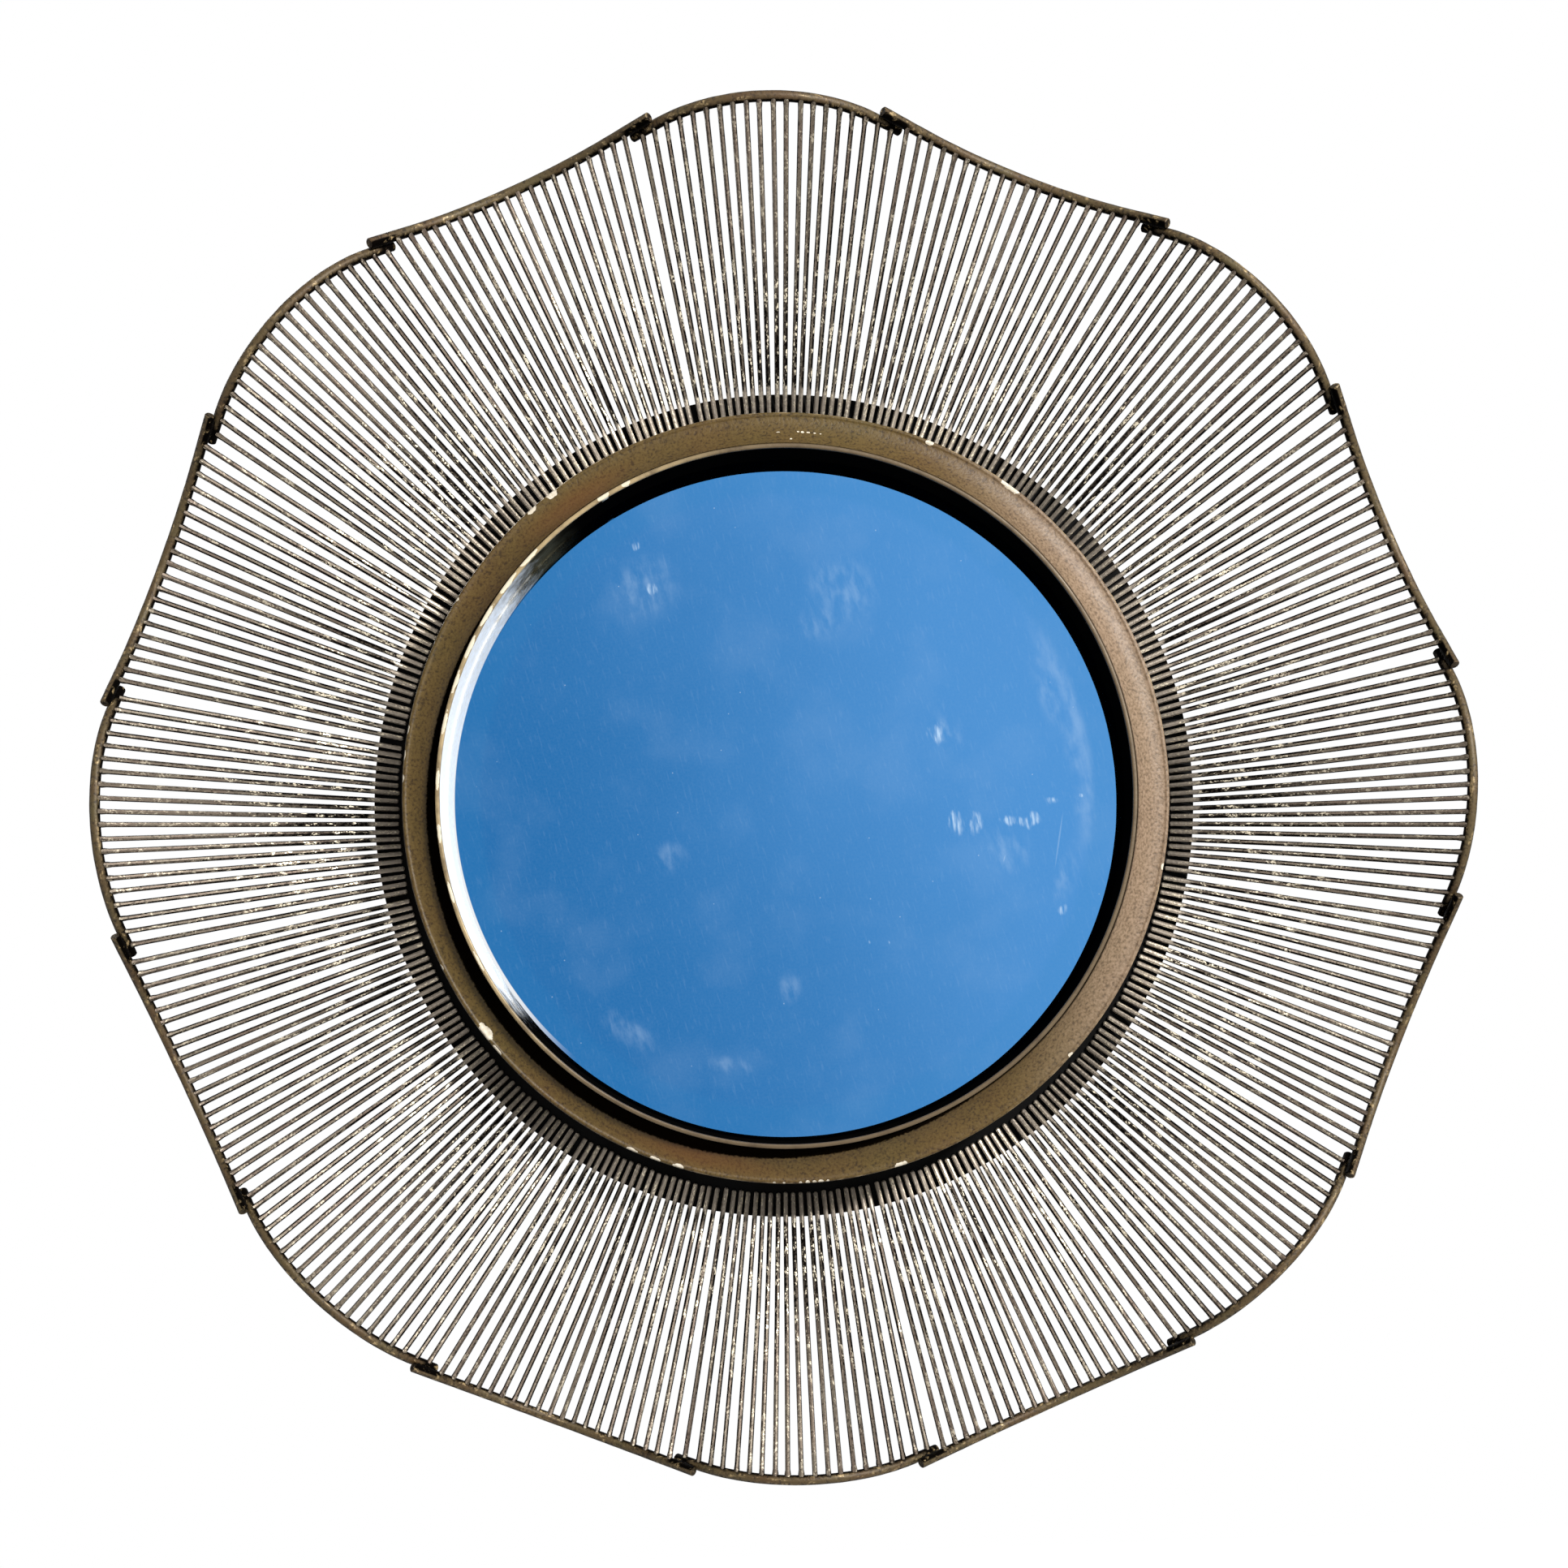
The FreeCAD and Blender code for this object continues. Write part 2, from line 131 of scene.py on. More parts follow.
def add(tree, kind, inputs, output=0, **settings):
    """Adds a node and gives one of its outputs. A list of inputs fills the sockets in their order."""
    node = tree.nodes.new("ShaderNode" + kind)
    for name, value in settings.items():
        setattr(node, name, value)
    connect(tree, node, dict(enumerate(inputs)) if isinstance(inputs, list) else inputs)
    return node.outputs[output]


def scaled(tree, value, share):
    """A mask or a measure times a share. If the share is a mask too, only what both cover is left."""
    return add(tree, "Math", [value, share], operation="MULTIPLY")


def inverse(tree, mask):
    """1 where the mask is 0, and 0 where it is 1."""
    return add(tree, "Math", [1.0, mask], operation="SUBTRACT")


def coat(tree, base, colour, mask, share=1.0):
    """Lays a coat over a base where the mask is 1. A base or a colour is a hex text or a socket."""
    if share < 1:
        mask = scaled(tree, mask, share)
    base, colour = [linear(layer) if isinstance(layer, str) else layer for layer in (base, colour)]
    return add(tree, "Mix", {0: mask, 6: base, 7: colour}, 2, data_type="RGBA")


def start(name):
    """A new material with its shader and its Object coordinates."""
    material = bpy.data.materials.new(name)
    material.use_nodes = True
    tree = material.node_tree
    return material, tree, tree.nodes["Principled BSDF"], add(tree, "TexCoord", {}, "Object")


# %% Patterns


def grain(tree, coordinates, size, detail=3.0, stretch=(1, 1, 1)):
    """Noise whose blobs are about this many metres across, evened out to run from 0 to 1."""
    mapped = add(tree, "Mapping", {"Vector": coordinates, "Scale": stretch})
    cloudy = add(tree, "TexNoise", {"Vector": mapped, "Scale": 0.5 / size, "Detail": detail}, "Fac")
    return add(tree, "MapRange", {"Value": cloudy, 1: 0.3, 2: 0.7})


def ramp(tree, value, low, high):
    """0 below low, 1 above high and smooth between them. Swapped limits turn it round."""
    return add(tree, "MapRange", {"Value": value, 1: low, 2: high}, interpolation_type="SMOOTHSTEP")


def between(tree, mask, low, high):
    """Low where the mask is 0, high where it is 1, and in proportion between them."""
    return add(tree, "MapRange", {"Value": mask, 3: low, 4: high})


def turned(tree, coordinates, angle):
    """Coordinates turned about the mirror's axis, so that this angle comes to the top."""
    turn = -math.radians(angle)
    return add(tree, "VectorRotate", {"Vector": coordinates, "Axis": (0, 1, 0), "Angle": turn})


def toward(tree, coordinates, angle):
    """How far a point lies from the axis toward an angle, in metres. It is negative on the other side."""
    return add(tree, "SeparateXYZ", [turned(tree, coordinates, angle)], "Z")


def flat(tree, coordinates):
    """Coordinates without their depth, so that they start from the mirror's axis."""
    return add(tree, "VectorMath", [coordinates, (1, 0, 1)], operation="MULTIPLY")


def axis_distance(tree, coordinates):
    """How far a point is from the mirror's axis, in metres."""
    return add(tree, "VectorMath", [flat(tree, coordinates)], "Value", operation="LENGTH")


def clock_angle(tree, coordinates):
    """The angle of a point round the mirror's axis, in radians."""
    axes = add(tree, "SeparateXYZ", [coordinates]).node.outputs
    return add(tree, "Math", [axes["X"], axes["Z"]], operation="ARCTAN2")


def polar(tree, coordinates, outwards, round_about):
    """Coordinates that run outwards from the mirror's axis and round it, each stretched by its own share."""
    along = scaled(tree, axis_distance(tree, coordinates), outwards)
    angle = scaled(tree, clock_angle(tree, coordinates), round_about)
    return add(tree, "CombineXYZ", [along, angle, add(tree, "SeparateXYZ", [coordinates], "Y")])


def spots(tree, coordinates, places):
    """1 in the middle of oval spots and below 0 outside them. A place is an angle, the millimetres from the
    axis toward it, half the width and half the height."""
    mask = None
    for angle, height, half_width, half_height in places:
        middle = (0, 0, -height * mm)
        moved = add(tree, "VectorMath", [turned(tree, coordinates, angle), middle], operation="ADD")
        squeeze = (1 / (half_width * mm), 0, 1 / (half_height * mm))
        squeezed = add(tree, "VectorMath", [moved, squeeze], operation="MULTIPLY")
        reach = add(tree, "VectorMath", [squeezed], "Value", operation="LENGTH")
        here = inverse(tree, reach)
        mask = add(tree, "Math", [mask, here], operation="MAXIMUM") if mask is not None else here
    return mask


# %% [markdown]
# The rods and wires are mild steel, with bronze paint on their fronts and a dull brown scale on their backs.
# Their sides are painted nearly black, which is painted shade. The bronze is an olive and brown mottle a few
# millimetres wide, with fine dark pits, and it carries cream in broken lines along the metal, partly rubbed
# bronze and partly painted glints. Masks that know which way the surface faces put each coat in its place.


# %% Which way a surface faces
def facing_front(tree, normal):
    """1 where a surface faces the viewer squarely, 0 where it faces sideways."""
    return scaled(tree, add(tree, "SeparateXYZ", [normal], "Y"), -1.0)


def outward(tree, coordinates):
    """The direction away from the mirror's axis."""
    return add(tree, "VectorMath", [flat(tree, coordinates)], operation="NORMALIZE")


def off_centre(tree, coordinates, normal):
    """How far to the side of a radial wire a point lies, as a share of the wire's radius."""
    forward = (0, 1, 0)
    across = add(tree, "VectorMath", [outward(tree, coordinates), forward], operation="CROSS_PRODUCT")
    share = add(tree, "VectorMath", [normal, across], "Value", operation="DOT_PRODUCT")
    return add(tree, "Math", [share], operation="ABSOLUTE")


def outward_share(tree, coordinates, normal):
    """1 where a surface faces away from the mirror's axis, -1 where it faces the axis."""
    return add(tree, "VectorMath", [normal, outward(tree, coordinates)], "Value", operation="DOT_PRODUCT")


crest_step = 45.0


def from_crest(tree, coordinates):
    """Degrees round the axis from the middle of the nearest crest bar. The laps are at 11.25."""
    steps = add(tree, "Math", [clock_angle(tree, coordinates), math.radians(crest_step)], operation="DIVIDE")
    steps = add(tree, "Math", [steps, 0.5], operation="ADD")
    middle = add(tree, "Math", [add(tree, "Math", [steps], operation="FRACT"), 0.5], operation="SUBTRACT")
    return scaled(tree, add(tree, "Math", [middle], operation="ABSOLUTE"), crest_step)


def hub_end(tree, coordinates):
    """1 on a wire's inner end, over the hub plate, and 0 further out."""
    covered, clear = 280 * mm, 289 * mm
    return ramp(tree, axis_distance(tree, coordinates), clear, covered)


# %% [markdown]
# One function builds the bronze for rods and wires alike. It is handed two more functions, which say where
# the bronze stays clear of the painted side shade and where the cream rubs and painted glints lie on that
# piece. Over the hub plate the wires' ends are an even, greyer and lighter bronze: painted light that stands
# in for the light reaching them in the ring's shadow.

# %% Bronze patina
pit_size = 1.1 * mm


def bronze_with_painted_shade(name, colours, blotch, unshaded_at, rubs_and_glints_at, metal):
    """Colours are brown, olive, the cream of the rubs and painted glints, and the hub end's, which is lighter
    as painted light. unshaded_at and rubs_and_glints_at work out where the bronze is clear of the painted
    side shade and where the rubs and glints lie, from the tree, the coordinates, the normal and a fine grain."""
    material, tree, shader, coordinates = start(name)
    brown, olive, rubbed, hub_end_lit = colours
    normal = add(tree, "NewGeometry", {}, "Normal")
    mottle = grain(tree, coordinates, blotch)
    fine = grain(tree, coordinates, pit_size, detail=2.0)
    inner = hub_end(tree, coordinates)
    bronze = coat(tree, brown, olive, mottle)
    bronze = coat(tree, bronze, "21170c", ramp(tree, fine, 0.45, 0.0), 0.7)
    # The hub end's lighter colour is painted light, in place of the light that reaches the wires' ends in the
    # ring's shadow.
    bronze = coat(tree, bronze, hub_end_lit, inner, 0.85)
    # Painted shade: a surface that faces sideways is painted nearly black, and only the backs keep a dull
    # brown scale.
    behind = ramp(tree, facing_front(tree, normal), -0.1, -0.6)
    side_shade_and_back_scale = coat(tree, "080605", coat(tree, "1d1814", "332a21", mottle), behind)
    unshaded = unshaded_at(tree, coordinates, normal, fine)
    base = coat(tree, side_shade_and_back_scale, bronze, unshaded)
    in_reach = ramp(tree, facing_front(tree, normal), 0.25, 0.6)
    # Cream rubs, partly painted glints, only where the surface faces forward.
    rubs_and_glints = scaled(tree, rubs_and_glints_at(tree, coordinates, normal, fine), in_reach)
    base = coat(tree, base, rubbed, rubs_and_glints)
    metallic = between(tree, inner, metal, 1.0)
    in_front = inverse(tree, behind)
    painted_shine = scaled(tree, unshaded, 0.4)
    scale_shine = scaled(tree, behind, 0.4)
    connect(tree, shader, {
        "Base Color": base,
        "Roughness": between(tree, rubs_and_glints, 0.55, 0.4),
        "Metallic": scaled(tree, metallic, in_front),
        "Specular IOR Level": add(tree, "Math", [painted_shine, scale_shine], operation="MAXIMUM"),
        "Normal": add(tree, "Bump", {"Height": fine, "Distance": 0.2 * mm, "Strength": 0.6}),
    })
    return material


# %% [markdown]
# At each lap the rods are welded, and there the metal is painted black as painted shadow: the ends of the
# crest bars, which lie in the shadow of the trough bars over them, and the inner side of the trough bars.


# %% Rods
# Painted shade: bronze only where a rod faces forward, its sides painted nearly black.
def rod_unshaded(tree, coordinates, normal, fine):
    ragged = scaled(tree, fine, 0.2)
    reach = add(tree, "Math", [facing_front(tree, normal), ragged], operation="ADD")
    return ramp(tree, reach, 0.5, 1.0)


def crest_rod_unshaded(tree, coordinates, normal, fine):
    """The ends of a crest bar are painted black: painted shadow of the trough bar that lies over them."""
    unshadowed = ramp(tree, from_crest(tree, coordinates), 10.5, 10.0)
    return scaled(tree, rod_unshaded(tree, coordinates, normal, fine), unshadowed)


def trough_rod_unshaded(tree, coordinates, normal, fine):
    """The inner side of a trough bar near a lap, with its weld beads, is painted black too: painted shade
    between the bars.
    """
    near_lap = ramp(tree, from_crest(tree, coordinates), 12.4, 11.8)
    inner_side = ramp(tree, outward_share(tree, coordinates, normal), 0.0, -0.35)
    lap_shadow = scaled(tree, near_lap, inner_side)
    unshadowed = inverse(tree, lap_shadow)
    return scaled(tree, rod_unshaded(tree, coordinates, normal, fine), unshadowed)


# Cream rubs and painted glints in broken lines along a rod.
def rod_rubs_and_glints(tree, coordinates, normal, fine):
    runs = grain(tree, polar(tree, coordinates, 1.0, 0.05), 1.3 * mm, detail=3.0)
    return scaled(tree, ramp(tree, runs, 0.6, 1.1), ramp(tree, fine, 0.2, 0.9))


# Brown, olive, the cream of the rubs and painted glints, and the hub end's colour.
rod_colours = ("4d3920", "54482c", "b89f74", "4d3920")
rod_blotch = 11 * mm
bar_finishes = {}
for kind, unshaded_at in (("crest", crest_rod_unshaded), ("trough", trough_rod_unshaded)):
    bar_finishes[kind] = bronze_with_painted_shade("bronzed_steel_rod_" + kind, rod_colours, rod_blotch, unshaded_at,
                                        rod_rubs_and_glints, 0.2)
print("rod finishes:", len(bar_finishes))

# %% [markdown]
# Toward the hub less of each wire's front is left bronze and more of its sides are painted shade, so the
# wires darken inward as painted shade, up to the hub plate, where the whole end is bronze. The cream marks
# are short dashes and dots along the wire, partly rubs and partly painted glints, and most of them lie on its
# inner half.


# %% Wires
# Painted shade on a wire's sides, wider toward the hub.
def wire_unshaded(tree, coordinates, normal, fine):
    outer = ramp(tree, axis_distance(tree, coordinates), 290 * mm, 420 * mm)
    reach = between(tree, outer, 0.3, 0.6)
    reach = add(tree, "Math", [reach, hub_end(tree, coordinates)], operation="MAXIMUM")
    ragged = scaled(tree, fine, 0.2)
    side = add(tree, "Math", [off_centre(tree, coordinates, normal), ragged], operation="ADD")
    past = add(tree, "Math", [side, reach], operation="SUBTRACT")
    front = ramp(tree, facing_front(tree, normal), 0.0, 0.3)
    return scaled(tree, ramp(tree, past, 0.22, -0.12), front)


# Cream rubs and painted glints along a wire, most of them on its inner half.
def wire_rubs_and_glints(tree, coordinates, normal, fine):
    runs = grain(tree, polar(tree, coordinates, 0.08, 0.36), 1.3 * mm, detail=2.0)
    dots = grain(tree, polar(tree, coordinates, 0.7, 0.36), 0.6 * mm, detail=1.0)
    rubs_and_glints = scaled(tree, ramp(tree, runs, 0.55, 0.8), ramp(tree, dots, 0.35, 0.7))
    inner_half = ramp(tree, axis_distance(tree, coordinates), 400 * mm, 320 * mm)
    share = between(tree, inner_half, 0.35, 1.0)
    return scaled(tree, rubs_and_glints, share)


# Brown, olive, the cream of the rubs and painted glints, and the hub end's colour, lightened as painted
# light.
wire_colours = ("6d5e52", "756c5d", "f0e3c8", "b0a597")
wire_blotch = 13 * mm
wire_finish = bronze_with_painted_shade("bronzed_steel_wire", wire_colours, wire_blotch, wire_unshaded, wire_rubs_and_glints, 0.5)
print("wire finish made")

# %% [markdown]
# The ring is a resin casting with the same patina over a cream body. Where it has been knocked, mostly on
# its outer edge, the patina has flaked and the cream shows. The largest chips are placed one by one, and
# noise frays their edges.

# %% Chips on the cast ring
edge_radius = ring_radius / mm
# Clockwise angle, then in mm: how far in from the edge, half the width and half the length
edge_chips = [
    (37.2, 1.2, 2.2, 8.0), (234.3, 2.3, 4.4, 7.2), (231.2, 0.8, 1.6, 4.5), (324.1, 1.6, 2.6, 5.0),
    (320.3, 1.2, 2.0, 3.6), (23.6, 1.4, 2.0, 3.2), (133.4, 0.8, 1.8, 2.2), (164.3, 1.0, 1.9, 5.2),
    (205.9, 0.8, 1.6, 5.2), (202.0, 0.9, 1.6, 4.0), (198.3, 1.0, 1.9, 4.4), (246.0, 0.6, 1.0, 2.4),
    (282.2, 0.5, 0.9, 3.4), (278.5, 0.5, 0.9, 4.0), (275.0, 0.6, 1.0, 3.0), (101.6, 0.8, 1.2, 2.6),
    (183.7, 0.5, 0.9, 1.3), (182.2, 0.5, 0.8, 1.0), (179.7, 0.5, 1.0, 1.1), (178.6, 0.6, 1.3, 1.7),
    (177.6, 0.5, 1.1, 1.4), (176.6, 0.6, 1.4, 1.9), (175.6, 0.5, 1.0, 1.0), (303.0, 0.7, 1.1, 1.8),
]
# Clockwise angle, then in mm: the radius, half the width and half the length
cove_chips = [
    (3.5, 239.8, 0.6, 0.9), (4.2, 239.6, 0.7, 1.1), (5.1, 239.6, 0.6, 1.3), (6.1, 239.4, 0.5, 0.9),
    (0.4, 239.3, 0.4, 1.5), (2.4, 234.0, 0.7, 0.9), (7.0, 239.2, 0.4, 0.7),
]
ring_chips = [(angle, edge_radius - inset, width, length) for angle, inset, width, length in edge_chips]
ring_chips += cove_chips
print("ring chips:", len(ring_chips))


def chip_mask(tree, coordinates, chips):
    """1 inside a chip and 0 outside, with frayed edges."""
    fray_size = 1.6 * mm
    fray = add(tree, "TexNoise", {"Vector": coordinates, "Scale": 0.5 / fray_size, "Detail": 3.0}, "Fac")
    fray = scaled(tree, fray, 1.1)
    lying = [(angle, radius, length, width) for angle, radius, width, length in chips]
    frayed = add(tree, "Math", [spots(tree, coordinates, lying), fray], operation="ADD")
    return ramp(tree, frayed, 0.62, 0.70)


# %% [markdown]
# Its bronze is a mottle in three browns, rustier at the upper left and at the bottom. Down the right side it
# is paler and pinker, a painted highlight where the light falls. A black line of painted shade runs along the
# hoop's foot and widens at the lower left into the hoop's painted shadow. That painted shade and bare resin
# don't shine as the patina does.


# %% Patina on the cast ring
def ring_bronze(tree, coordinates, mottle, fine):
    """The bronze coats, before dirt and chips."""
    base = coat(tree, "442c13", "423718", grain(tree, coordinates, 38 * mm))
    base = coat(tree, base, "5c4723", mottle, 0.45)
    base = coat(tree, base, "6f5b31", fine, 0.5)
    base = coat(tree, base, "241908", ramp(tree, fine, 0.4, 0.0), 0.6)
    # Paler and pinker down the right side: a painted highlight where the light falls.
    right_side = ramp(tree, toward(tree, coordinates, 84), 110 * mm, 225 * mm)
    speckled = between(tree, fine, 0.25, 0.75)
    painted_sheen = scaled(tree, right_side, speckled)
    base = coat(tree, base, "a48c77", painted_sheen)
    rust_places = [(326.0, 236.0, 55.0, 16.0), (196.0, 240.0, 70.0, 14.0)]
    base = coat(tree, base, "6b4220", ramp(tree, spots(tree, coordinates, rust_places), 0.0, 0.9), 0.5)
    outer_edge = ramp(tree, axis_distance(tree, coordinates), ring_radius - 1.3 * mm, ring_radius - 0.3 * mm)
    worn = scaled(tree, outer_edge, ramp(tree, mottle, 0.45, 0.9))
    return coat(tree, base, "b9a27c", worn, 0.6)


def painted_hoop_shadow(tree, coordinates, fine):
    """1 in the painted shade along the hoop's foot, which widens at the lower left into the hoop's painted
    shadow.
    """
    radius = axis_distance(tree, coordinates)
    line = ramp(tree, radius, hoop_radius + 2.6 * mm, hoop_radius + 1.0 * mm)
    wider = scaled(tree, toward(tree, coordinates, 228), 0.045)
    cast_shadow = add(tree, "Math", [radius, wider], operation="SUBTRACT")
    ragged = scaled(tree, fine, 0.8 * mm)
    cast_shadow = add(tree, "Math", [cast_shadow, ragged], operation="ADD")
    cast_shadow = ramp(tree, cast_shadow, hoop_radius + 1.0 * mm, hoop_radius - 0.4 * mm)
    return add(tree, "Math", [line, cast_shadow], operation="MAXIMUM")


def ring_patina():
    material, tree, shader, coordinates = start("bronzed_cast_resin")
    mottle = grain(tree, coordinates, 6 * mm, detail=5.0)
    fine = grain(tree, coordinates, 0.9 * mm, detail=2.0)
    hoop_shadow = painted_hoop_shadow(tree, coordinates, fine)
    chips = chip_mask(tree, coordinates, ring_chips)
    # Painted shade along the hoop's foot and the hoop's painted shadow at the lower left, nearly black.
    base = coat(tree, ring_bronze(tree, coordinates, mottle, fine), "050302", hoop_shadow, 0.97)
    base = coat(tree, base, coat(tree, "d3c6ae", "ece2cf", fine), chips)
    satin = between(tree, mottle, 0.52, 0.44)
    bare = scaled(tree, chips, 0.35)
    unshadowed = inverse(tree, hoop_shadow)
    pits = scaled(tree, fine, 0.4)
    relief = add(tree, "Math", [pits, chips], operation="SUBTRACT")
    connect(tree, shader, {
        "Base Color": base,
        "Roughness": add(tree, "Math", [satin, bare], operation="ADD"),
        "Specular IOR Level": scaled(tree, unshadowed, 0.26),
        "Normal": add(tree, "Bump", {"Height": relief, "Distance": 0.35 * mm, "Strength": 0.8}),
    })
    return material


ring_finish = ring_patina()
print("ring finish made")

# %% [markdown]
# The hoop is rolled steel strip. Its front edge is rubbed to a light bronze, and on the left it is lighter
# still, a painted highlight. Inside, its colour is painted light: nearly black where the wall lies in shade,
# olive at the upper left where it is half lit, and cream at the left, where the light from the right falls on
# it.

# %% Hoop finish
# Clockwise angle, then in mm: the radius, half the width and half the length
lip_chips = [
    (334.5, 227.4, 1.8, 3.4), (330.2, 227.4, 2.4, 5.0), (314.5, 227.3, 1.6, 8.0), (309.0, 227.2, 1.8, 9.0),
    (303.0, 227.0, 1.6, 9.0), (297.0, 227.2, 1.6, 8.0), (291.0, 227.0, 1.4, 8.0), (284.0, 227.0, 1.4, 9.0),
    (275.0, 227.0, 1.3, 8.0), (266.0, 227.0, 1.3, 7.0), (256.0, 227.0, 1.1, 8.0), (244.0, 227.0, 0.9, 7.0),
]


def hoop_patina():
    material, tree, shader, coordinates = start("bronzed_steel_strip")
    mottle = grain(tree, coordinates, 6 * mm, detail=4.0)
    fine = grain(tree, coordinates, 1.5 * mm, detail=2.0)
    depth = scaled(tree, add(tree, "SeparateXYZ", [coordinates], "Y"), -1.0)
    front = ramp(tree, depth, hoop_front - 1.6 * mm, hoop_front - 0.5 * mm)
    rubbed = scaled(tree, front, ramp(tree, mottle, -0.6, 1.0))
    # The lip is lighter on the left: a painted highlight where the light from the right falls on it.
    left_side = ramp(tree, toward(tree, coordinates, 288), 60 * mm, 170 * mm)
    highlit_lip_bronze = coat(tree, "5f4f38", "b09a72", left_side)
    base = coat(tree, coat(tree, "3a2b19", "5c4b2f", mottle), highlit_lip_bronze, rubbed)
    not_front = inverse(tree, front)
    wall = ramp(tree, axis_distance(tree, coordinates), hoop_radius - 2.3 * mm, hoop_radius - 2.9 * mm)
    inside = scaled(tree, wall, not_front)
    # Inside, painted light: nearly black where the wall is in shade, olive at the upper left where it is half
    # lit.
    half_lit_patch = ramp(tree, spots(tree, coordinates, [(306.0, 225.0, 75.0, 60.0)]), 0.0, 0.5)
    base = coat(tree, base, coat(tree, "070605", coat(tree, "2a261b", "57523f", mottle), half_lit_patch), inside)
    # Cream at the left of the inner wall: a painted patch of light.
    ragged = scaled(tree, mottle, 14 * mm)
    edge = add(tree, "Math", [toward(tree, coordinates, 273), ragged], operation="ADD")
    painted_lit_wall = scaled(tree, inside, ramp(tree, edge, 174 * mm, 202 * mm))
    base = coat(tree, base, coat(tree, "f4eee0", "fffdf8", fine), painted_lit_wall)
    near_front = ramp(tree, depth, hoop_front - 4 * mm, hoop_front - 3 * mm)
    chips = scaled(tree, chip_mask(tree, coordinates, lip_chips), near_front)
    base = coat(tree, base, "e4d8bd", chips)
    satin = between(tree, mottle, 0.55, 0.4)
    dull = scaled(tree, inside, 0.4)
    outside = inverse(tree, inside)
    pits = scaled(tree, fine, 0.3)
    relief = add(tree, "Math", [mottle, pits], operation="ADD")
    connect(tree, shader, {
        "Base Color": base,
        "Roughness": add(tree, "Math", [satin, dull], operation="ADD"),
        "Metallic": scaled(tree, front, 0.12),
        "Specular IOR Level": scaled(tree, outside, 0.4),
        "Normal": add(tree, "Bump", {"Height": relief, "Distance": 0.2 * mm, "Strength": 0.5}),
    })
    return material


hoop_finish = hoop_patina()
print("lip chips:", len(lip_chips))

# %% [markdown]
# Silvered glass shows what is in front of it. The photograph was taken out of doors under a blue sky, and a
# plain studio has none, so the silvering itself carries the sky's blue as a painted reflection, deeper at the
# lower left and paler at the right. A narrow border at the left keeps plain silvering, so the hoop's pale
# wall, with the light painted on it, shows in it. Wiping has left haze, an arc of it along the right, and
# broken smears and thin scratches. Dust shows as small pale specks.

# %% Marks on the glass
opening_radius = hoop_radius - 3 * mm
# Clockwise angle, then in mm: the radius, half the width and half the height
smears = [
    (66.5, 110, 8, 6), (98.4, 114, 7, 8), (97.8, 127, 7, 6), (96.4, 151, 4, 9), (95.8, 164, 5, 7),
    (91.0, 177, 3, 4), (90.3, 196.5, 1.6, 1.6), (112.7, 198, 4, 3), (150.8, 108, 2, 2.5),
    (145.3, 115.5, 2, 3), (331.0, 196, 3, 3), (329.5, 166, 4, 4),
]
scratch_lines = [(99.5, 183.5, 22, 0.7), (106.0, 150.0, 3, 0.5)]
hazes = [
    (16.8, 146, 26, 22), (12.7, 121, 16, 14), (327.7, 170, 26, 22), (70.0, 192, 30, 13), (82.0, 197, 24, 10),
    (92.0, 198, 22, 7), (68.0, 116, 16, 12), (104.0, 150, 16, 18), (107.0, 193, 20, 8), (216.4, 185, 24, 10),
    (245.7, 85, 12, 12), (181.0, 123, 9, 12), (194.0, 179, 16, 6),
]


def haze_on_glass(tree, coordinates, radius, torn):
    """Milky patches, and an arc of the same milk along the right."""
    patches = ramp(tree, spots(tree, coordinates, hazes), -0.2, 0.7)
    patches = scaled(tree, patches, ramp(tree, torn, 0.2, 1.1))
    arc_radius = 200.5 * mm
    off_arc = add(tree, "Math", [radius, arc_radius], operation="SUBTRACT")
    off_arc = add(tree, "Math", [off_arc], operation="ABSOLUTE")
    milky = scaled(tree, ramp(tree, off_arc, 8 * mm, 1 * mm), ramp(tree, torn, -0.1, 0.9))
    at_right = ramp(tree, spots(tree, coordinates, [(79.0, 200.0, 95.0, 60.0)]), 0.0, 0.6)
    milky = scaled(tree, milky, at_right)
    both = add(tree, "Math", [patches, milky], operation="MAXIMUM")
    return scaled(tree, both, 0.23)


def film_on_glass(tree, coordinates, wiped):
    """A thin uneven film with fine hairline scratches."""
    patches = ramp(tree, grain(tree, coordinates, 26 * mm, detail=7.0), 0.4, 1.0)
    patches = scaled(tree, patches, 0.05)
    speckle = scaled(tree, grain(tree, coordinates, 0.8 * mm, detail=3.0), 0.03)
    hairs = ramp(tree, grain(tree, wiped, 0.8 * mm, detail=3.0, stretch=(1.0, 1.0, 0.16)), 0.6, 1.2)
    hairs = scaled(tree, hairs, 0.07)
    return add(tree, "Math", [add(tree, "Math", [patches, speckle], operation="ADD"), hairs], operation="ADD")


def smears_on_glass(tree, coordinates, torn):
    """Dashes that a dirty cloth left, broken up inside each smear's oval."""
    ovals = spots(tree, coordinates, smears)
    dashes = turned(tree, coordinates, -6)
    dashes = grain(tree, dashes, 0.9 * mm, detail=2.0, stretch=(1.0, 1.0, 0.14))
    broken = scaled(tree, torn, 1.3)
    smeared = ramp(tree, add(tree, "Math", [ovals, broken], operation="ADD"), 0.55, 1.3)
    smeared = scaled(tree, smeared, ramp(tree, dashes, 0.1, 1.0))
    smeared = scaled(tree, smeared, ramp(tree, ovals, -0.5, 0.1))
    return scaled(tree, smeared, 0.85)


